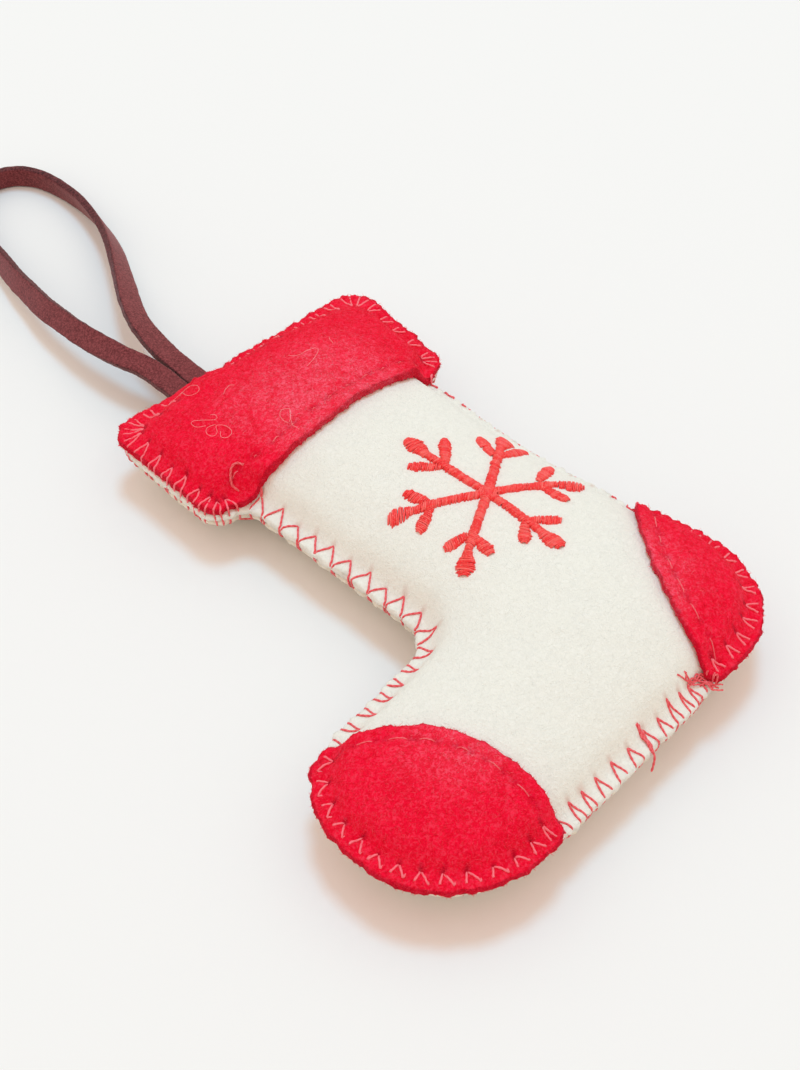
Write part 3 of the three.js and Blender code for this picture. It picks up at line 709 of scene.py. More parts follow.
class Nodes:
    """Short names for building a node tree."""

    def __init__(self, name):
        self.material = bpy.data.materials.new(name)
        self.material.use_nodes = True
        self.tree = self.material.node_tree
        self.shader = self.tree.nodes["Principled BSDF"]
        self.place = self.add("ShaderNodeTexCoord").outputs["Object"]

    def add(self, kind, **settings):
        node = self.tree.nodes.new(kind)
        for key, value in settings.items():
            setattr(node, key, value)
        return node

    def link(self, source, target):
        self.tree.links.new(source, target)

    def noise(self, scale, detail=3.0, rough=0.6, distort=0.0, place=None):
        node = self.add("ShaderNodeTexNoise")
        node.inputs["Scale"].default_value = scale
        node.inputs["Detail"].default_value = detail
        node.inputs["Roughness"].default_value = rough
        node.inputs["Distortion"].default_value = distort
        self.link(place or self.place, node.inputs["Vector"])
        return node.outputs["Fac"]

    def stretched(self, scale, turn):
        node = self.add("ShaderNodeMapping")
        node.inputs["Scale"].default_value = scale
        node.inputs["Rotation"].default_value = (0, 0, turn)
        self.link(self.place, node.inputs["Vector"])
        return node.outputs["Vector"]

    def ramp(self, source, low, high):
        node = self.add("ShaderNodeMapRange")
        node.inputs["From Min"].default_value = low
        node.inputs["From Max"].default_value = high
        self.link(source, node.inputs["Value"])
        return node.outputs["Result"]

    def maths(self, operation, a, b):
        node = self.add("ShaderNodeMath", operation=operation)
        for socket, value in zip(node.inputs, (a, b)):
            if isinstance(value, (int, float)):
                socket.default_value = value
            else:
                self.link(value, socket)
        return node.outputs[0]

    def mix(self, factor, a, b):
        node = self.add("ShaderNodeMix", data_type="RGBA")
        for socket, value in ((node.inputs["Factor"], factor), (node.inputs[6], a), (node.inputs[7], b)):
            if isinstance(value, tuple):
                socket.default_value = (*value, 1)
            elif isinstance(value, float):
                socket.default_value = value
            else:
                self.link(value, socket)
        return node.outputs[2]

    def attribute(self, name):
        return self.add("ShaderNodeAttribute", attribute_name=name).outputs["Fac"]

    def bump(self, height, strength, distance, normal=None):
        node = self.add("ShaderNodeBump")
        node.inputs["Strength"].default_value = strength
        node.inputs["Distance"].default_value = distance
        self.link(height, node.inputs["Height"])
        if normal:
            self.link(normal, node.inputs["Normal"])
        return node.outputs["Normal"]

    def finish(self, colour, normal=None, rough=0.9, sheen=0.0, sheen_rough=0.5, sheen_tint=(1, 1, 1)):
        s = self.shader.inputs
        if isinstance(colour, tuple):
            s["Base Color"].default_value = (*colour, 1)
        else:
            self.link(colour, s["Base Color"])
        if normal:
            self.link(normal, s["Normal"])
        s["Roughness"].default_value = rough
        s["Sheen Weight"].default_value = sheen
        s["Sheen Roughness"].default_value = sheen_rough
        s["Sheen Tint"].default_value = (*sheen_tint, 1)
        return self.material


def felt_material(name, base, light, dark, painted_shade, sheen, tint, contrast, painted_sheen=None):
    """Pressed felt: matted fibres in streaks of lighter and darker colour, with painted shade at
    needle holes, stitch ends and cut walls, and a painted sheen that makes it paler on the stuffing's
    crown."""
    n = Nodes(name)
    n.shader.inputs["Specular IOR Level"].default_value = 0.15
    streak_a = n.noise(1.0, 4, 0.65, 0.8, n.stretched((700, 2200, 1200), 0.5))
    streak_b = n.noise(1.0, 4, 0.65, 0.8, n.stretched((2300, 800, 1200), -0.3))
    grain = n.noise(3600, 3, 0.7)
    mottle = n.noise(160, 3, 0.6, 0.3)
    tufts = n.noise(1500, 3, 0.65, 1.2)
    streak = n.maths("MAXIMUM", streak_a, streak_b)
    lit = n.ramp(streak, 0.52, 0.78)
    deep = n.ramp(n.maths("ADD", grain, n.maths("MULTIPLY", mottle, 0.5)), 0.86, 0.54)
    pale = contrast
    # Where the painted sheen lies, the lighter streaks and tufts show more
    if painted_sheen:
        pale = n.maths("MULTIPLY", n.maths("ADD", n.attribute("painted_sheen"), 0.3), contrast)
    colour = n.mix(n.maths("MULTIPLY", lit, pale), base, light)
    colour = n.mix(n.maths("MULTIPLY", deep, contrast), colour, dark)
    colour = n.mix(n.maths("MULTIPLY", n.ramp(tufts, 0.51, 0.60), pale), colour, light)
    colour = n.mix(n.maths("MULTIPLY", n.ramp(tufts, 0.46, 0.36), contrast), colour, dark)
    # Painted sheen: a paler pinkish tint on the stuffing's crown
    if painted_sheen:
        colour = n.mix(n.maths("MULTIPLY", n.attribute("painted_sheen"), 0.22), colour, painted_sheen)
    # Painted shade: darker at needle holes, by stitch ends and on the cut walls
    colour = n.mix(n.maths("MULTIPLY", n.attribute("painted_shade"), 0.8), colour, painted_shade)
    normal = n.bump(streak, 0.5, 0.0003)
    normal = n.bump(tufts, 0.5, 0.0003, normal)
    normal = n.bump(grain, 0.6, 0.00016, normal)
    return n.finish(colour, normal, 0.95, sheen, 0.26, tint)


def fibre_material(name, base, light, sheen, painted_sheen=None):
    """Loose fibres, each a little lighter or darker than the felt that it stands on; given a sheen
    colour, they take the felt's painted sheen too.
    """
    n = Nodes(name)
    n.shader.inputs["Specular IOR Level"].default_value = 0.2
    pale = n.attribute("pale")
    # Where the painted sheen lies, the paler fibres show more
    if painted_sheen:
        pale = n.maths("MULTIPLY", n.maths("ADD", n.attribute("painted_sheen"), 0.25), pale)
    colour = n.mix(pale, base, light)
    # Painted sheen: a paler tint on the stuffing's crown
    if painted_sheen:
        colour = n.mix(n.maths("MULTIPLY", n.attribute("painted_sheen"), 0.12), colour, painted_sheen)
    return n.finish(colour, None, 0.8, sheen, 0.4)


def thread_material(name, base, light, dark, painted_sheen_on_red=None):
    """Twisted thread with a soft shine, painted highlights on its strands and in pale specks, and a
    painted sheen where it lies on red felt.
    """
    n = Nodes(name)
    n.shader.inputs["Specular IOR Level"].default_value = 0.5
    grain = n.noise(2600, 3, 0.6)
    colour = n.mix(n.ramp(grain, 0.35, 0.65), dark, base)
    # Painted highlight on each strand's ridge, or on whole stitches at random where levels are given
    colour = n.mix(n.maths("MULTIPLY", n.attribute("strand"), 0.5), colour, light)
    # Painted glints: pale specks of highlight
    painted_glints = n.noise(4200, 2, 0.5)
    colour = n.mix(n.maths("MULTIPLY", n.ramp(painted_glints, 0.56, 0.66), 0.7), colour, light)
    # Painted sheen where the thread lies on red felt
    if painted_sheen_on_red:
        colour = n.mix(n.maths("MULTIPLY", n.attribute("painted_sheen_on_red"), 0.8), colour, painted_sheen_on_red)
    return n.finish(colour, n.bump(grain, 0.3, 0.00006), 0.45, 0.1, 0.35)


def suede_material():
    """Suede lace: a brushed nap on its faces and darker cut edges."""
    n = Nodes("suede_lace")
    n.shader.inputs["Specular IOR Level"].default_value = 0.15
    nap = n.noise(3000, 4, 0.75, 0.5)
    cloud = n.noise(350, 3, 0.6, 0.4)
    face = n.mix(n.ramp(nap, 0.42, 0.60), (0.10, 0.014, 0.017), (0.275, 0.058, 0.062))
    face = n.mix(n.maths("MULTIPLY", n.ramp(cloud, 0.45, 0.75), 0.5), face, (0.24, 0.052, 0.056))
    cut = n.mix(n.ramp(nap, 0.42, 0.62), (0.035, 0.006, 0.008), (0.19, 0.045, 0.05))
    colour = n.mix(n.attribute("cut"), face, cut)
    return n.finish(colour, n.bump(nap, 0.5, 0.0001), 0.92, 0.3, 0.5, (1.0, 0.75, 0.75))


RED = (1.0, 0.002, 0.04)
# Felts: base, lighter and darker streaks, painted shade, sheen and its tint, contrast, and for red the
# painted sheen colour
MATERIALS = {
    "white": felt_material(
        "white_felt", (0.90, 0.88, 0.79), (0.94, 0.92, 0.85), (0.84, 0.825, 0.76),
        (0.72, 0.52, 0.44), 0.15, (1, 1, 1), 0.5,
    ),
    "cream": felt_material(
        "cream_felt", (0.92, 0.85, 0.70), (0.95, 0.91, 0.80), (0.84, 0.75, 0.60),
        (0.6, 0.42, 0.34), 0.15, (1, 1, 1), 0.6,
    ),
    "red": felt_material(
        "red_felt", RED, (1.0, 0.10, 0.17), (0.82, 0.0, 0.02),
        (0.30, 0.0, 0.01), 0.4, (1.0, 0.22, 0.30), 0.95, (1.0, 0.16, 0.23),
    ),
    # Red fibres: the last colour is the painted sheen
    "red_fibres": fibre_material(
        "red_fibres", (1.0, 0.0, 0.034), (1.0, 0.30, 0.36), 0.05, (1.0, 0.16, 0.23),
    ),
    "white_fibres": fibre_material("white_fibres", (0.90, 0.89, 0.83), (0.97, 0.965, 0.93), 0.1),
    # Threads: base, painted highlight, darker grain, and for the edge thread the painted sheen on red
    "thread": thread_material(
        "edge_thread", (0.87, 0.05, 0.07), (1.0, 0.24, 0.25), (0.66, 0.015, 0.03), (1.0, 0.19, 0.24),
    ),
    "flake": thread_material("flake_thread", (1.0, 0.03, 0.03), (1.0, 0.24, 0.20), (0.86, 0.008, 0.012)),
    "suede": suede_material(),
    "fill": fibre_material("fibre_fill", (0.85, 0.85, 0.82), (0.95, 0.95, 0.93), 0.1),
    "lint": fibre_material("lint", (0.98, 0.42, 0.45), (1.0, 0.6, 0.6), 0.1),
}


# Felt pieces


def painted_sheen_share(x, y):
    """Painted sheen: how much paler the felt is painted, most on the stuffing's crown."""
    share = np.clip((front_height(x, y, 0) - PAINTED_SHEEN_START) / (PAINTED_SHEEN_FULL - PAINTED_SHEEN_START), 0, 1)
    return share * share * (3 - 2 * share) * (1 + 0.3 * noise(x, y, 1.3, 18))


def felt(
    name, edge, top, under, material,
    spacing=0.75, rough_edge=0.12, seed=1, wall_painted_shade=0.1, pinch=0.28,
):
    """A cut piece of felt between two heights, with a soft uneven edge, and painted shade and painted
    sheen stored for its colour.
    """
    closed = np.vstack([edge, edge[:1]])
    count = int(length_of(closed) / 0.5)
    loop = evenly(closed, count + 1)[:-1]
    inward = left_of(unit(np.roll(loop, -1, axis=0) - np.roll(loop, 1, axis=0)))
    k, away = EDGE_TRACK.nearest(loop[:, 0], loop[:, 1])
    notch = pinch * nearness(EDGE_ALONG[k], CROSSINGS, 0.55) * (away < 1.6)
    rng = dice(seed)
    inner = loop + (0.3 + 0.8 * notch)[:, None] * inward
    low, high = loop.min(axis=0), loop.max(axis=0)
    xs = np.arange(low[0], high[0], spacing)
    ys = np.arange(low[1], high[1], spacing * 0.866)
    gx, gy = np.meshgrid(xs, ys)
    gx = gx + (np.arange(len(ys)) % 2)[:, None] * spacing / 2
    gx, gy = gx.ravel(), gy.ravel()
    keep = is_inside(inner, gx, gy)
    gx, gy = gx[keep], gy[keep]
    _, off = Track(inner).nearest(gx, gy)
    _, from_hole = HOLE_TRACK.nearest(gx, gy)
    inside = np.stack([gx, gy], axis=1)[(off > spacing * 0.55) & (from_hole > 0.42)]
    holes = HOLE_POINTS[is_inside(inner, HOLE_POINTS[:, 0], HOLE_POINTS[:, 1])]
    flat = np.vstack([inner, inside, holes])
    ring_edges = [(k, (k + 1) % count) for k in range(count)]
    made = geometry.delaunay_2d_cdt([Vector(p) for p in flat], ring_edges, [], 0, 1e-5, True)
    points = np.array([tuple(p) for p in made[0]])
    faces = np.array(made[2], np.int32)
    middle = points[faces].mean(axis=1)
    faces = faces[is_inside(inner, middle[:, 0], middle[:, 1])]
    a, b, c = points[faces[:, 0]], points[faces[:, 1]], points[faces[:, 2]]
    turn = (b[:, 0] - a[:, 0]) * (c[:, 1] - a[:, 1]) - (b[:, 1] - a[:, 1]) * (c[:, 0] - a[:, 0])
    faces[turn < 0] = faces[turn < 0][:, ::-1]
    of_input = {o: k for k, originals in enumerate(made[3]) for o in originals}
    border = np.array([of_input[k] for k in range(count)], np.int32)

    # The top's second value is the painted shade of needle holes and stitch ends
    z, painted_shade, _ = top(points[:, 0], points[:, 1])
    z_under = under(points[:, 0], points[:, 1])
    n = len(points)
    verts = [np.column_stack([points, z]), np.column_stack([points, np.minimum(z_under, z - 0.2)])]
    upper, lower = verts[0][border, 2], verts[1][border, 2]
    painted_shades = [painted_shade, np.zeros(n)]
    rings = [border]
    for share, out in ((0.12, 0.2), (0.38, 0.33), (0.65, 0.33), (0.9, 0.16)):
        waver = noise(loop[:, 0] * 3, loop[:, 1] * 3, 4.0, seed)
        uneven = rough_edge * (0.7 * rng.normal(size=count) + waver)
        ring = inner - (out + uneven)[:, None] * inward
        level = upper + (lower - upper) * share + 0.05 * rng.normal(size=count)
        rings.append(np.arange(count, dtype=np.int32) + sum(map(len, verts)))
        verts.append(np.column_stack([ring, level]))
        # Painted shade on the cut wall
        painted_shades.append(np.full(count, wall_painted_shade))
    rings.append(border + n)
    walls = []
    for r, s in zip(rings, rings[1:]):
        walls.append(np.stack([r, s, np.roll(s, -1), np.roll(r, -1)], axis=1))
    piece = new_object(
        name, np.vstack(verts), [faces, faces[:, ::-1] + n, np.vstack(walls)], MATERIALS[material]
    )
    # Painted shade, kept for the felt's colour
    add_attribute(piece, "painted_shade", np.clip(np.concatenate(painted_shades), 0, 1))
    places = np.vstack(verts)
    # Painted sheen, paler on the stuffing's crown
    add_attribute(piece, "painted_sheen", painted_sheen_share(places[:, 0], places[:, 1]))
    piece["walls"] = len(walls) * count
    return piece


def tube(line, radius, sides=8, twist=0.0, ridge=0.0):
    """Points and faces of a tube along a line; with a ridge its section is two strands that twist."""
    line = np.asarray(line, float)
    n = len(line)
    radius = np.broadcast_to(radius, n)
    way = tangents_of(line)
    side = np.cross(way[0], (0.3, 0.2, 0.93))
    sides_at = np.empty((n, 3))
    for k in range(n):
        side = side - way[k] * side.dot(way[k])
        side /= max(np.linalg.norm(side), 1e-9)
        sides_at[k] = side
    other = np.cross(way, sides_at)
    along = np.concatenate([[0], np.cumsum(np.linalg.norm(np.diff(line, axis=0), axis=1))])
    turn = np.linspace(0, 2 * math.pi, sides, endpoint=False)[None, :]
    swell = np.cos(2 * turn - twist * along[:, None])
    r = (radius[:, None] * (1 + ridge * swell))[..., None]
    ring = line[:, None] + r * (
        np.cos(turn)[..., None] * sides_at[:, None] + np.sin(turn)[..., None] * other[:, None]
    )
    return ring.reshape(-1, 3), strip_quads(n, sides), (0.5 + 0.5 * swell).ravel()


def tubes(name, lines, material, attribute, radius, sides=8, twist=0.0, ridge=0.0, levels=None):
    """One object of several tubes, each with closed ends."""
    verts, quads, caps, values, total = [], [], [], [], 0
    for k, line in enumerate(lines):
        r = radius[k] if isinstance(radius, list) else radius
        v, f, w = tube(line, r, sides, twist, ridge)
        verts.append(v)
        quads.append(f + total)
        end = total + len(v)
        caps.append(np.arange(total, total + sides)[::-1])
        caps.append(np.arange(end - sides, end))
        values.append(w if levels is None else np.full(len(v), levels[k]))
        total = end
    piece = new_object(name, np.vstack(verts), [np.vstack(quads), np.array(caps)], material)
    add_attribute(piece, attribute, np.concatenate(values))
    return piece


def fuzz(name, piece, count, length, width, lift, material, seed, walls=False, pale=(0, 1)):
    """Short curved fibres that stand off a piece's felt, as one object of thin three-sided blades."""
    rng = dice(seed)
    mesh = piece.data
    mesh.calc_loop_triangles()
    tris = np.empty(len(mesh.loop_triangles) * 3, np.int32)
    mesh.loop_triangles.foreach_get("vertices", tris)
    tris = tris.reshape(-1, 3)
    owner = np.empty(len(tris), np.int32)
    mesh.loop_triangles.foreach_get("polygon_index", owner)
    points = np.empty(len(mesh.vertices) * 3)
    mesh.vertices.foreach_get("co", points)
    points = points.reshape(-1, 3) / MM
    a, b, c = points[tris[:, 0]], points[tris[:, 1]], points[tris[:, 2]]
    cross = np.cross(b - a, c - a)
    normal = unit(cross)
    on_wall = owner >= len(mesh.polygons) - piece["walls"]
    chosen = on_wall if walls else (~on_wall & (normal[:, 2] > 0.05))
    at_lace = (np.abs(a[:, 0] - LACE_X) < LACE_WIDTH + 0.8) & (a[:, 1] > TOP_Y - 1.2)
    weight = np.linalg.norm(cross, axis=1) * chosen * ~at_lace
    pick = rng.choice(len(tris), count, p=weight / weight.sum())
    u, v = rng.random(count), rng.random(count)
    over = u + v > 1
    u, v = np.where(over, 1 - u, u)[:, None], np.where(over, 1 - v, v)[:, None]
    root = a[pick] + u * (b - a)[pick] + v * (c - a)[pick]
    normal = normal[pick]
    along = unit(np.cross(normal, rng.normal(size=(count, 3))))
    rise = rng.uniform(*lift, count)[:, None]
    way = unit(along + rise * normal)
    curl = unit(np.cross(normal, way)) * rng.normal(size=(count, 1)) * 0.5 - normal * rise * 0.55
    long = rng.uniform(*length, count)[:, None]
    t = np.array([0, 0.5, 1.0])
    line = (
        root[:, None] - 0.05 * normal[:, None]
        + long[:, None] * (t[None, :, None] * way[:, None] + (t**2)[None, :, None] * curl[:, None])
    )
    thick = width * rng.uniform(0.6, 1.3, count)[:, None] * np.array([1, 0.85, 0.25])
    side = unit(np.cross(way, normal))
    blade = [side, unit(np.cross(way, side) - 0.58 * side), unit(-np.cross(way, side) - 0.58 * side)]
    ring = np.stack([line + thick[..., None] / 2 * d[:, None] for d in blade], axis=2)
    verts = ring.reshape(-1, 3)
    base = np.arange(count)[:, None, None] * 9
    seg = np.arange(2)[None, :, None] * 3
    k = np.arange(3)[None, None, :]
    p, q = base + seg + k, base + seg + (k + 1) % 3
    quads = np.stack([p, q, q + 3, p + 3], axis=-1).reshape(-1, 4)
    made = new_object(name, verts, [quads], MATERIALS[material])
    add_attribute(made, "pale", np.repeat(rng.uniform(*pale, count) ** 3, 9))
    # Painted sheen, as on the felt the fibres stand on
    add_attribute(made, "painted_sheen", painted_sheen_share(verts[:, 0], verts[:, 1]))
    return made


def ride(piece, body="stocking"):
    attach(piece, body)
    return piece


# The loop


def make_loop():
    """The suede lace, a flat strip that rolls onto its edge round the loop and back."""
    rings = 300
    line = curve_through(LACE_POINTS, rings)
    way = tangents_of(line)
    roll = np.radians(np.interp(np.linspace(0, 1, rings), np.linspace(0, 1, len(LACE_ROLL)), LACE_ROLL))
    outward = unit(np.stack([-way[:, 1], way[:, 0], np.zeros(rings)], axis=1))
    above = unit(np.cross(way, outward))
    above *= np.sign(above[:, 2:3])
    face = np.cos(roll)[:, None] * above + np.sin(roll)[:, None] * outward
    wide = unit(np.cross(face, way))
    half, thick, soft = LACE_WIDTH / 2, LACE_THICKNESS / 2, 0.28
    section = []
    corners = ((half, thick, 0), (-half, thick, 90), (-half, -thick, 180), (half, -thick, 270))
    for cx, cy, start in corners:
        inner = np.array([cx - math.copysign(soft, cx), cy - math.copysign(soft, cy)])
        for turn in np.radians([start, start + 30, start + 60, start + 90]):
            section.append(inner + soft * np.array([math.cos(turn), math.sin(turn)]))
        if start in (0, 180):
            section.extend(np.array([x * math.copysign(1, cx), cy]) for x in (1.0, 0.0, -1.0))
        else:
            section.extend(np.array([cx, y * math.copysign(1, cy)]) for y in (0.2, -0.2))
    section = np.array(section)
    rng = dice(41)
    verts = []
    stations = [(k, 0.0) for k in range(rings)]
    for turn in NOSE_TURNS:
        stations.insert(0, (0, -turn))
        stations.append((rings - 1, turn))
    for k, turn in stations:
        uneven = 1 + 0.012 * rng.normal(size=(len(section), 1))
        breadth = 1 + 0.02 * math.sin(k * 0.21) + 0.012 * math.sin(k * 0.83 + 1)
        flat = section * uneven * np.array([breadth, math.cos(turn)])
        at = line[k] + math.sin(turn) * thick * way[k]
        verts.append(at + flat[:, :1] * wide[k] + flat[:, 1:] * face[k])
    rings = len(stations)
    sides = len(section)
    quads = strip_quads(rings, sides)
    caps = np.array([np.arange(sides)[::-1], np.arange(sides) + (rings - 1) * sides])
    loop = new_object("suede_loop", np.vstack(verts), [quads, caps], MATERIALS["suede"])
    cut = np.clip((np.abs(section[:, 0]) - (half - soft * 0.7)) / (soft * 0.5), 0, 1)
    add_attribute(loop, "cut", np.tile(cut, rings))
    ride(loop, "loop")
    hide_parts("hanging_loop")


# The overcast thread


def hug(points, radius, top=True):
    """Points of the plan laid on the felt."""
    x, y = points[:, 0], points[:, 1]
    if top:
        return np.column_stack([points, surface(x, y) + radius])
    return np.column_stack([points, np.maximum(back_height(x, y, FELT) - radius, radius * 1.05)])


def overcast_line():
    """One unbroken line: hole, over the edge, bite on the back, over the edge, next hole."""
    radius = THREAD / 2
    rng = dice(51)
    pieces = []
    count = len(HOLES)
    slip = rng.uniform(-0.55, 0.55, (count, 2))
    for k in range(count):
        here, after = HOLE_POINTS[k], HOLE_POINTS[(k + 1) % count]
        over_patch = [is_inside(edge, here[:1], here[1:2])[0] for edge in PATCHES.values()]
        back_a, back_b = set_back(LEAVE[k]), set_back(ARRIVE[k])
        near_a, near_b = np.minimum(0.6, 0.25 * HOLE_DEPTHS[[k, (k + 1) % count]])
        retreat = 0 if any(over_patch) else 0.5
        out = at_edge(LEAVE[k], near_a + retreat * back_a)
        back_in = at_edge(ARRIVE[k], near_b + retreat * back_b)
        t = np.linspace(0, 1, 12)[:, None]
        sag = 0.28 * np.sin(math.pi * t) * rng.uniform(0.2, 1.2)
        if AT_LACE[k]:
            run = curve_through([np.append(here, 0), np.append(after, 0)], 40)[:, :2]
            pieces.append((hug(run, 0) - (0, 0, BURIED))[:-1])
            continue
        lean = at_edge(HOLES[k] + 0.3 * gaps[k], 1.2) - (here + out) / 2
        down = hug(here * (1 - t) + out * t + sag * unit(lean), radius * 0.7)
        up = hug(back_in * (1 - t) + after * t, radius * 0.7)
        dive = DIVE_ON_RED if any(over_patch) else DIVE_ON_WHITE
        if OUT_OF_SIGHT[0] < HOLES[k] < OUT_OF_SIGHT[1]:
            dive = DIVE_ON_RED
            down[:, 2] -= FAR_SINK
            up[:, 2] -= FAR_SINK
        if any(over_patch):
            deep = rng.uniform(-0.04, 0.14, 2)
            down[:, 2] -= deep[0]
            up[:, 2] -= deep[1]
        down[:, 2] -= dive * np.exp(-((t[:, 0] / 0.07) ** 2))
        up[:, 2] -= dive * np.exp(-(((1 - t[:, 0]) / 0.07) ** 2))
        low = SEAM_Z - CLEARANCE / 2 - FELT
        outer_a = at_edge(LEAVE[k], NECK_REACH + back_a)
        outer_b = at_edge(ARRIVE[k], NECK_REACH + back_b)
        along_a, along_b = LEAVE[k] + slip[k, 0], ARRIVE[k] + slip[k, 1]
        low_a = at_edge(along_a, WRAP_IN + back_a)
        low_b = at_edge(along_b, WRAP_IN + back_b)
        bite = at_edge(HOLES[k] + gaps[k] * 0.51, BACK_BITE + 0.2 * rng.normal())
        run_a = [at_edge(along_a, UNDER_NEAR + back_a), at_edge(along_a, UNDER_FAR + back_a), bite]
        run_b = [at_edge(along_b, UNDER_FAR + back_b), at_edge(along_b, UNDER_NEAR + back_b)]
        under_a = hug(np.array(run_a), radius, False)
        under_b = hug(np.array(run_b), radius, False)
        wrap_a = np.array([[*outer_a, down[-1, 2] - WRAP_DROP], [*low_a, low + WRAP_RISE]])
        wrap_b = np.array([[*low_b, low + WRAP_RISE], [*outer_b, up[0, 2] - WRAP_DROP]])
        pieces.append(np.vstack([down[:-1], wrap_a, under_a, under_b, wrap_b, up[1:-1]]))
    rough = np.vstack(pieces)
    return curve_through(np.vstack([rough, rough[:1]]), 9000)


def make_overcast():
    line = overcast_line()
    thread = tubes("overcast_seam", [line], MATERIALS["thread"], "strand", THREAD / 2, 8, 7.0, 0.14)
    # Where the thread lies on red felt above the seam it takes the painted sheen
    painted_sheen_on_red = np.zeros(len(line))
    for edge in PATCHES.values():
        painted_sheen_on_red = np.maximum(painted_sheen_on_red, is_inside(edge, line[:, 0], line[:, 1]) & (line[:, 2] > SEAM_Z))
    add_attribute(thread, "painted_sheen_on_red", np.repeat(painted_sheen_on_red, 8))
    ride(thread)
    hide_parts("overcast_thread")


# Running stitches along the patches' inner edges


def make_running():
    lines = []
    for name, hem in HEMS.items():
        for start, end in hem.dashes:
            at = np.linspace(start, end, 12)
            flat = hem.point(at)
            if not is_inside(PATCHES[name], flat[:, 0], flat[:, 1]).all():
                continue
            if (edge_relief(flat[:, 0], flat[:, 1], 0, 0)[2] < 1.6).any():
                continue
            t = np.linspace(-1, 1, 12)
            z = TOPS[name](flat[:, 0], flat[:, 1])[0]
            z = z - 0.02 + 0.08 * (1 - t**2) - 0.6 * np.abs(t) ** 9
            lines.append(np.column_stack([flat, z]))
    stitches = tubes("running_stitches", lines, MATERIALS["thread"], "strand", 0.1, 8, 7.0, 0.14)
    # The running stitches take part of the painted sheen
    add_attribute(stitches, "painted_sheen_on_red", np.full(len(stitches.data.vertices), 0.35))
    ride(stitches)


# The snowflake in satin stitch


def satin(lines, radii, start, end, widths, lift, rng, slant=0.15):
    """Stitches side by side across a stroke from start to end, its half-width given along it."""
    a, b = np.array(start, float), np.array(end, float)
    long = np.linalg.norm(b - a)
    way = (b - a) / long
    side = np.array([-way[1], way[0]])
    count = max(int(long / SATIN_PITCH), 2)
    t = (np.arange(count) + 0.5 + 0.12 * rng.uniform(-1, 1, count)) / count
    slant = slant + 0.05 * rng.normal(size=(count, 1, 1))
    u = np.linspace(-1, 1, 9)
    half = np.interp(t, np.linspace(0, 1, len(widths)), widths)[:, None]
    half = half + 0.08 * rng.normal(size=(count, 2))
    reach = np.where(u < 0, half[:, :1], half[:, 1:]) * u
    flat = a + t[:, None, None] * (b - a) + reach[..., None] * (side + slant * way)
    arch = lift * np.sqrt(1 - (u * 0.96) ** 2) - 0.3 * np.abs(u) ** 9
    z = surface(flat[..., 0], flat[..., 1]) + arch
    lines.extend(np.concatenate([flat, z[..., None]], axis=-1))
    radii.extend(SATIN_RADIUS * (1 + 0.1 * rng.normal(size=count)))


def make_snowflake():
    rng = dice(61)
    lines, radii = [], []
    hub = np.array(HUB)
    for fork, tip, left, right in ARMS:
        fork, tip = np.array(fork), np.array(tip)
        for leaf in (np.array(left), np.array(right)):
            root = fork + 0.12 * (leaf - fork)
            satin(lines, radii, root, leaf, LEAF_WIDTHS, 0.34, rng)
        club = fork + 0.34 * (tip - fork)
        satin(lines, radii, club, tip, TIP_WIDTHS, 0.42, rng)
        near = hub + 0.08 * (fork - hub)
        satin(lines, radii, near, club + 0.1 * (tip - club), STEM_WIDTHS, 0.5, rng, 0.4)
    for turn in (0.4, 2.1):
        way = np.array([math.cos(turn), math.sin(turn)]) * HUB_REACH
        satin(lines, radii, hub - way, hub + way, HUB_WIDTHS, 0.62, rng)
    # Each stitch gets a random share of the painted highlight colour
    flake = tubes(
        "satin_snowflake", lines, MATERIALS["flake"], "strand", radii, 6,
        levels=list(rng.uniform(0, 1, len(lines)) ** 2),
    )
    ride(flake)
    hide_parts("snowflake")


# Loose ends and lint


def laid(points, lift, count=40):
    flat = curve_through([(*p[:2], 0) for p in points], count)[:, :2]
    rise = np.interp(np.linspace(0, 1, count), np.linspace(0, 1, len(lift)), lift)
    return np.column_stack([flat, surface(flat[:, 0], flat[:, 1]) + rise])


def make_loose_threads():
    curl = laid([(-6.9, 27.6), (-7.4, 28.7), (-6.6, 29.6), (-5.4, 29.6), (-4.6, 28.7)],
                [-0.2, 0.4, 0.6, 0.4, -0.1])
    bar = laid([(3.7, -47.4), (3.9, -48.6), (3.7, -50.0), (3.3, -51.2)], [-0.1, 0.35, 0.4, 0.1])
    bar_b = laid([(4.0, -47.6), (3.6, -48.8), (3.9, -50.1), (3.2, -51.4)], [0.0, 0.45, 0.3, 0.1])
    end = bar[-1]
    falls = ((-0.1, -0.6, -0.7), (-0.5, -0.9, -2.0), (-0.9, -1.0, -3.1))
    tail = curve_through([end, *(end + fall for fall in falls)], 24)
    lines, radii = [curl, bar, bar_b, tail], [0.2, 0.28, 0.24, 0.18]
    rng = dice(71)
    for k in range(9):
        jitter = 0.8 * rng.normal(size=(6, 2))
        first, last = rng.integers(0, 3), rng.integers(4, 7)
        strand = (np.array(BUNCH) + jitter)[first:last]
        lines.append(laid(list(strand), [0.0, 0.25, 0.45, 0.55, 0.4, 0.1]))
        radii.append(0.13)
    loose = tubes("loose_threads", lines, MATERIALS["thread"], "strand", radii, 8, 7.0, 0.16)
    add_attribute(loose, "painted_sheen_on_red", np.zeros(len(loose.data.vertices)))
    ride(loose)


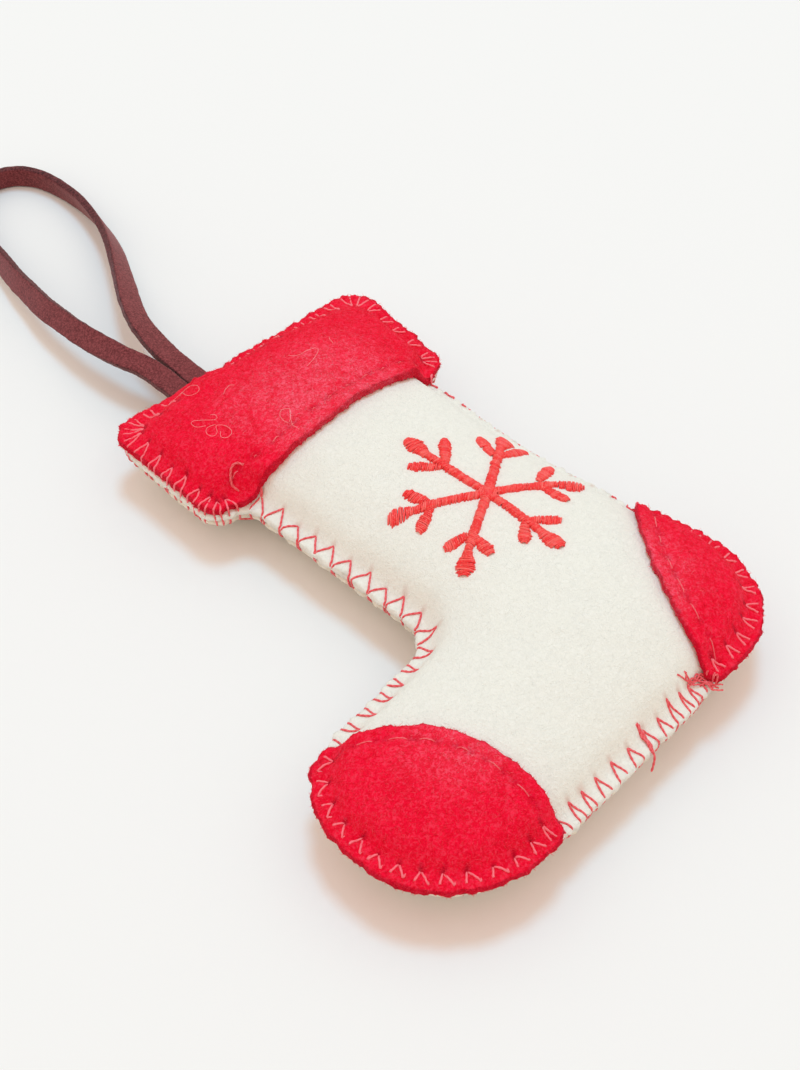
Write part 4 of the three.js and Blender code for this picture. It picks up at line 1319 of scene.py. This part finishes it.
def make_lint():
    """A few stray fibres that have settled on the cuff."""
    fibres = [
        [(-3.9, 49.6), (-2.6, 50.4), (-1.2, 50.3), (-0.6, 49.1), (-0.9, 47.5), (-0.4, 46.2),
         (0.6, 45.9), (1.3, 46.9), (0.9, 48.4), (-0.2, 49.3), (-1.2, 48.9)],
        [(2.2, 41.4), (3.6, 42.1), (4.8, 41.6)],
        [(-4.0, 38.6), (-5.1, 39.6), (-5.2, 40.9), (-4.5, 41.0), (-3.6, 39.8), (-2.8, 38.3),
         (-2.1, 38.0), (-1.8, 38.9), (-2.2, 39.6)],
        [(-3.0, 37.4), (-4.3, 38.0), (-5.1, 37.1), (-4.9, 35.9), (-4.0, 35.8), (-3.3, 36.9),
         (-2.8, 36.8), (-2.3, 35.4), (-2.5, 33.9), (-3.5, 33.7), (-4.1, 34.7), (-3.4, 35.7)],
        [(6.6, 30.2), (5.5, 30.8), (4.5, 30.1), (4.2, 28.8), (4.8, 28.2), (6.0, 29.2), (6.5, 30.0),
         (5.4, 28.6), (4.7, 27.2), (4.8, 25.8)],
        [(15.6, 40.6), (15.9, 39.5), (16.9, 38.7), (18.4, 38.6), (19.6, 38.2), (19.3, 37.2),
         (17.5, 36.0), (15.2, 35.4)],
        [(23.6, 39.3), (22.9, 38.3), (22.7, 37.3)],
    ]
    lines = [laid(f, [0.15, 0.4, 0.25, 0.45, 0.15], 60) for f in fibres]
    lint = tubes("lint", lines, MATERIALS["lint"], "pale", 0.022, 5, levels=[0.8] * len(lines))
    ride(lint)


# Room and light


def make_floor():
    n = Nodes("floor")
    n.finish((0.888, 0.88, 0.862), None, 1.0)
    n.shader.inputs["Specular IOR Level"].default_value = 0
    signs = ((-1, -1), (1, -1), (1, 1), (-1, 1))
    corners = [(x * FLOOR_HALF, y * FLOOR_HALF, -FLOOR_DROP) for x, y in signs]
    floor = new_object("floor", corners, [np.array([[0, 1, 2, 3]])], n.material)


def area_light(name, place, target, size, power, colour):
    data = bpy.data.lights.new(name, "AREA")
    data.shape = "DISK"
    data.size = size
    data.energy = power
    data.color = colour
    lamp = bpy.data.objects.new(name, data)
    lamp.location = place
    lamp.rotation_euler = (Vector(target) - Vector(place)).to_track_quat("-Z", "Y").to_euler()
    bpy.context.scene.collection.objects.link(lamp)


def make_light():
    scene = bpy.context.scene
    scene.view_settings.view_transform = "Standard"
    world = bpy.data.worlds.new("studio")
    scene.world = world
    world.use_nodes = True
    nodes, links = world.node_tree.nodes, world.node_tree.links
    background = nodes["Background"]
    background.inputs["Color"].default_value = (0.96, 0.82, 0.72, 1)
    place, parts = nodes.new("ShaderNodeTexCoord"), nodes.new("ShaderNodeSeparateXYZ")
    links.new(place.outputs["Generated"], parts.inputs[0])
    squared, strength = nodes.new("ShaderNodeMath"), nodes.new("ShaderNodeMath")
    squared.operation, strength.operation = "MULTIPLY", "MULTIPLY_ADD"
    links.new(parts.outputs["Z"], squared.inputs[0])
    links.new(parts.outputs["Z"], squared.inputs[1])
    links.new(squared.outputs[0], strength.inputs[0])
    strength.inputs[1].default_value = 2 * (1 - SKY_LOW)
    strength.inputs[2].default_value = SKY_LOW
    links.new(strength.outputs[0], background.inputs["Strength"])
    area_light("key", (0.6, 0.5, 2.75), (0, 0, 0), 0.8, 28, (0.25, 0.70, 1.0))


# Putting it together


def make_felt():
    white_edge = EDGE + set_back(EDGE_ALONG)[:, None] * EDGE_IN

    def front_under(x, y):
        return front_height(x, y, 0) - CLEARANCE / 2 + SEAM_GAP

    front = felt("front_felt", white_edge, panel_top, front_under, "white", seed=81)
    back_edge = EDGE + (BACK_SHORTER + set_back(EDGE_ALONG))[:, None] * EDGE_IN

    def back_top(x, y):
        return back_height(x, y, 0) + CLEARANCE / 2 - SEAM_GAP, np.zeros(len(x)), None

    back = felt("back_felt", back_edge, back_top, lambda x, y: back_height(x, y, FELT), "cream", seed=82)
    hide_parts("front_panel")
    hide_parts("back_panel")
    ride(front)
    ride(back)

    room = EDGE + (HEM + 2) * EDGE_IN
    keep = is_inside(EDGE[::2], room[:, 0], room[:, 1])
    _, off = EDGE_TRACK.nearest(room[:, 0], room[:, 1])
    room = room[keep & (off > HEM + 1.9)]

    def fill_top(x, y):
        return front_height(x, y, -CLEARANCE), np.zeros(len(x)), None

    fill = felt(
        "fibre_filling", room, fill_top, lambda x, y: back_height(x, y, -CLEARANCE), "fill",
        spacing=1.5, rough_edge=0.0, seed=83,
    )
    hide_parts("stuffing")
    ride(fill)

    fuzzy = []
    for k, (name, edge) in enumerate(PATCHES.items()):
        # Red patches: their cut walls get a strong painted shade
        piece = felt(
            f"{name}_felt", edge, TOPS[name],
            lambda x, y: front_height(x, y, PATCH_UNDER) + lace_lift(x, y),
            "red", spacing=0.6, rough_edge=0.16, seed=90 + k, wall_painted_shade=0.6, pinch=0.12,
        )
        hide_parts(name)
        ride(piece)
        fuzzy.append(piece)
    for k, piece in enumerate(fuzzy):
        count = int(9.5 * abs(polygon_area(PATCHES[piece.name.removesuffix("_felt")])))
        nap = fuzz(
            f"{piece.name}_nap", piece, count, (0.3, 0.9), 0.08, (0.15, 1.0), "red_fibres", 100 + k,
        )
        cut = fuzz(
            f"{piece.name}_edge_fuzz", piece, count // 3, (0.25, 0.7), 0.07, (0.4, 1.8), "red_fibres",
            110 + k, walls=True, pale=(0.1, 0.9),
        )
        ride(nap)
        ride(cut)
    for k, piece in enumerate((front, back)):
        cut = fuzz(
            f"{piece.name}_edge_fuzz", piece, 1500, (0.3, 0.8), 0.045, (0.3, 1.2), "white_fibres",
            120 + k, walls=True,
        )
        ride(cut)
    nap = fuzz("front_felt_nap", front, 7000, (0.5, 1.3), 0.032, (0.03, 0.3), "white_fibres", 125)
    ride(nap)


def polygon_area(p):
    q = np.roll(p, -1, axis=0)
    return float((p[:, 0] * q[:, 1] - q[:, 0] * p[:, 1]).sum() / 2)


make_camera()
make_loop()
make_floor()
make_light()
make_felt()
make_overcast()
make_running()
make_snowflake()
make_loose_threads()
make_lint()
for name in ("lace_end_left", "lace_end_right"):
    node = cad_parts[name]
    node.data.materials.clear()
    node.data.materials.append(MATERIALS["suede"])
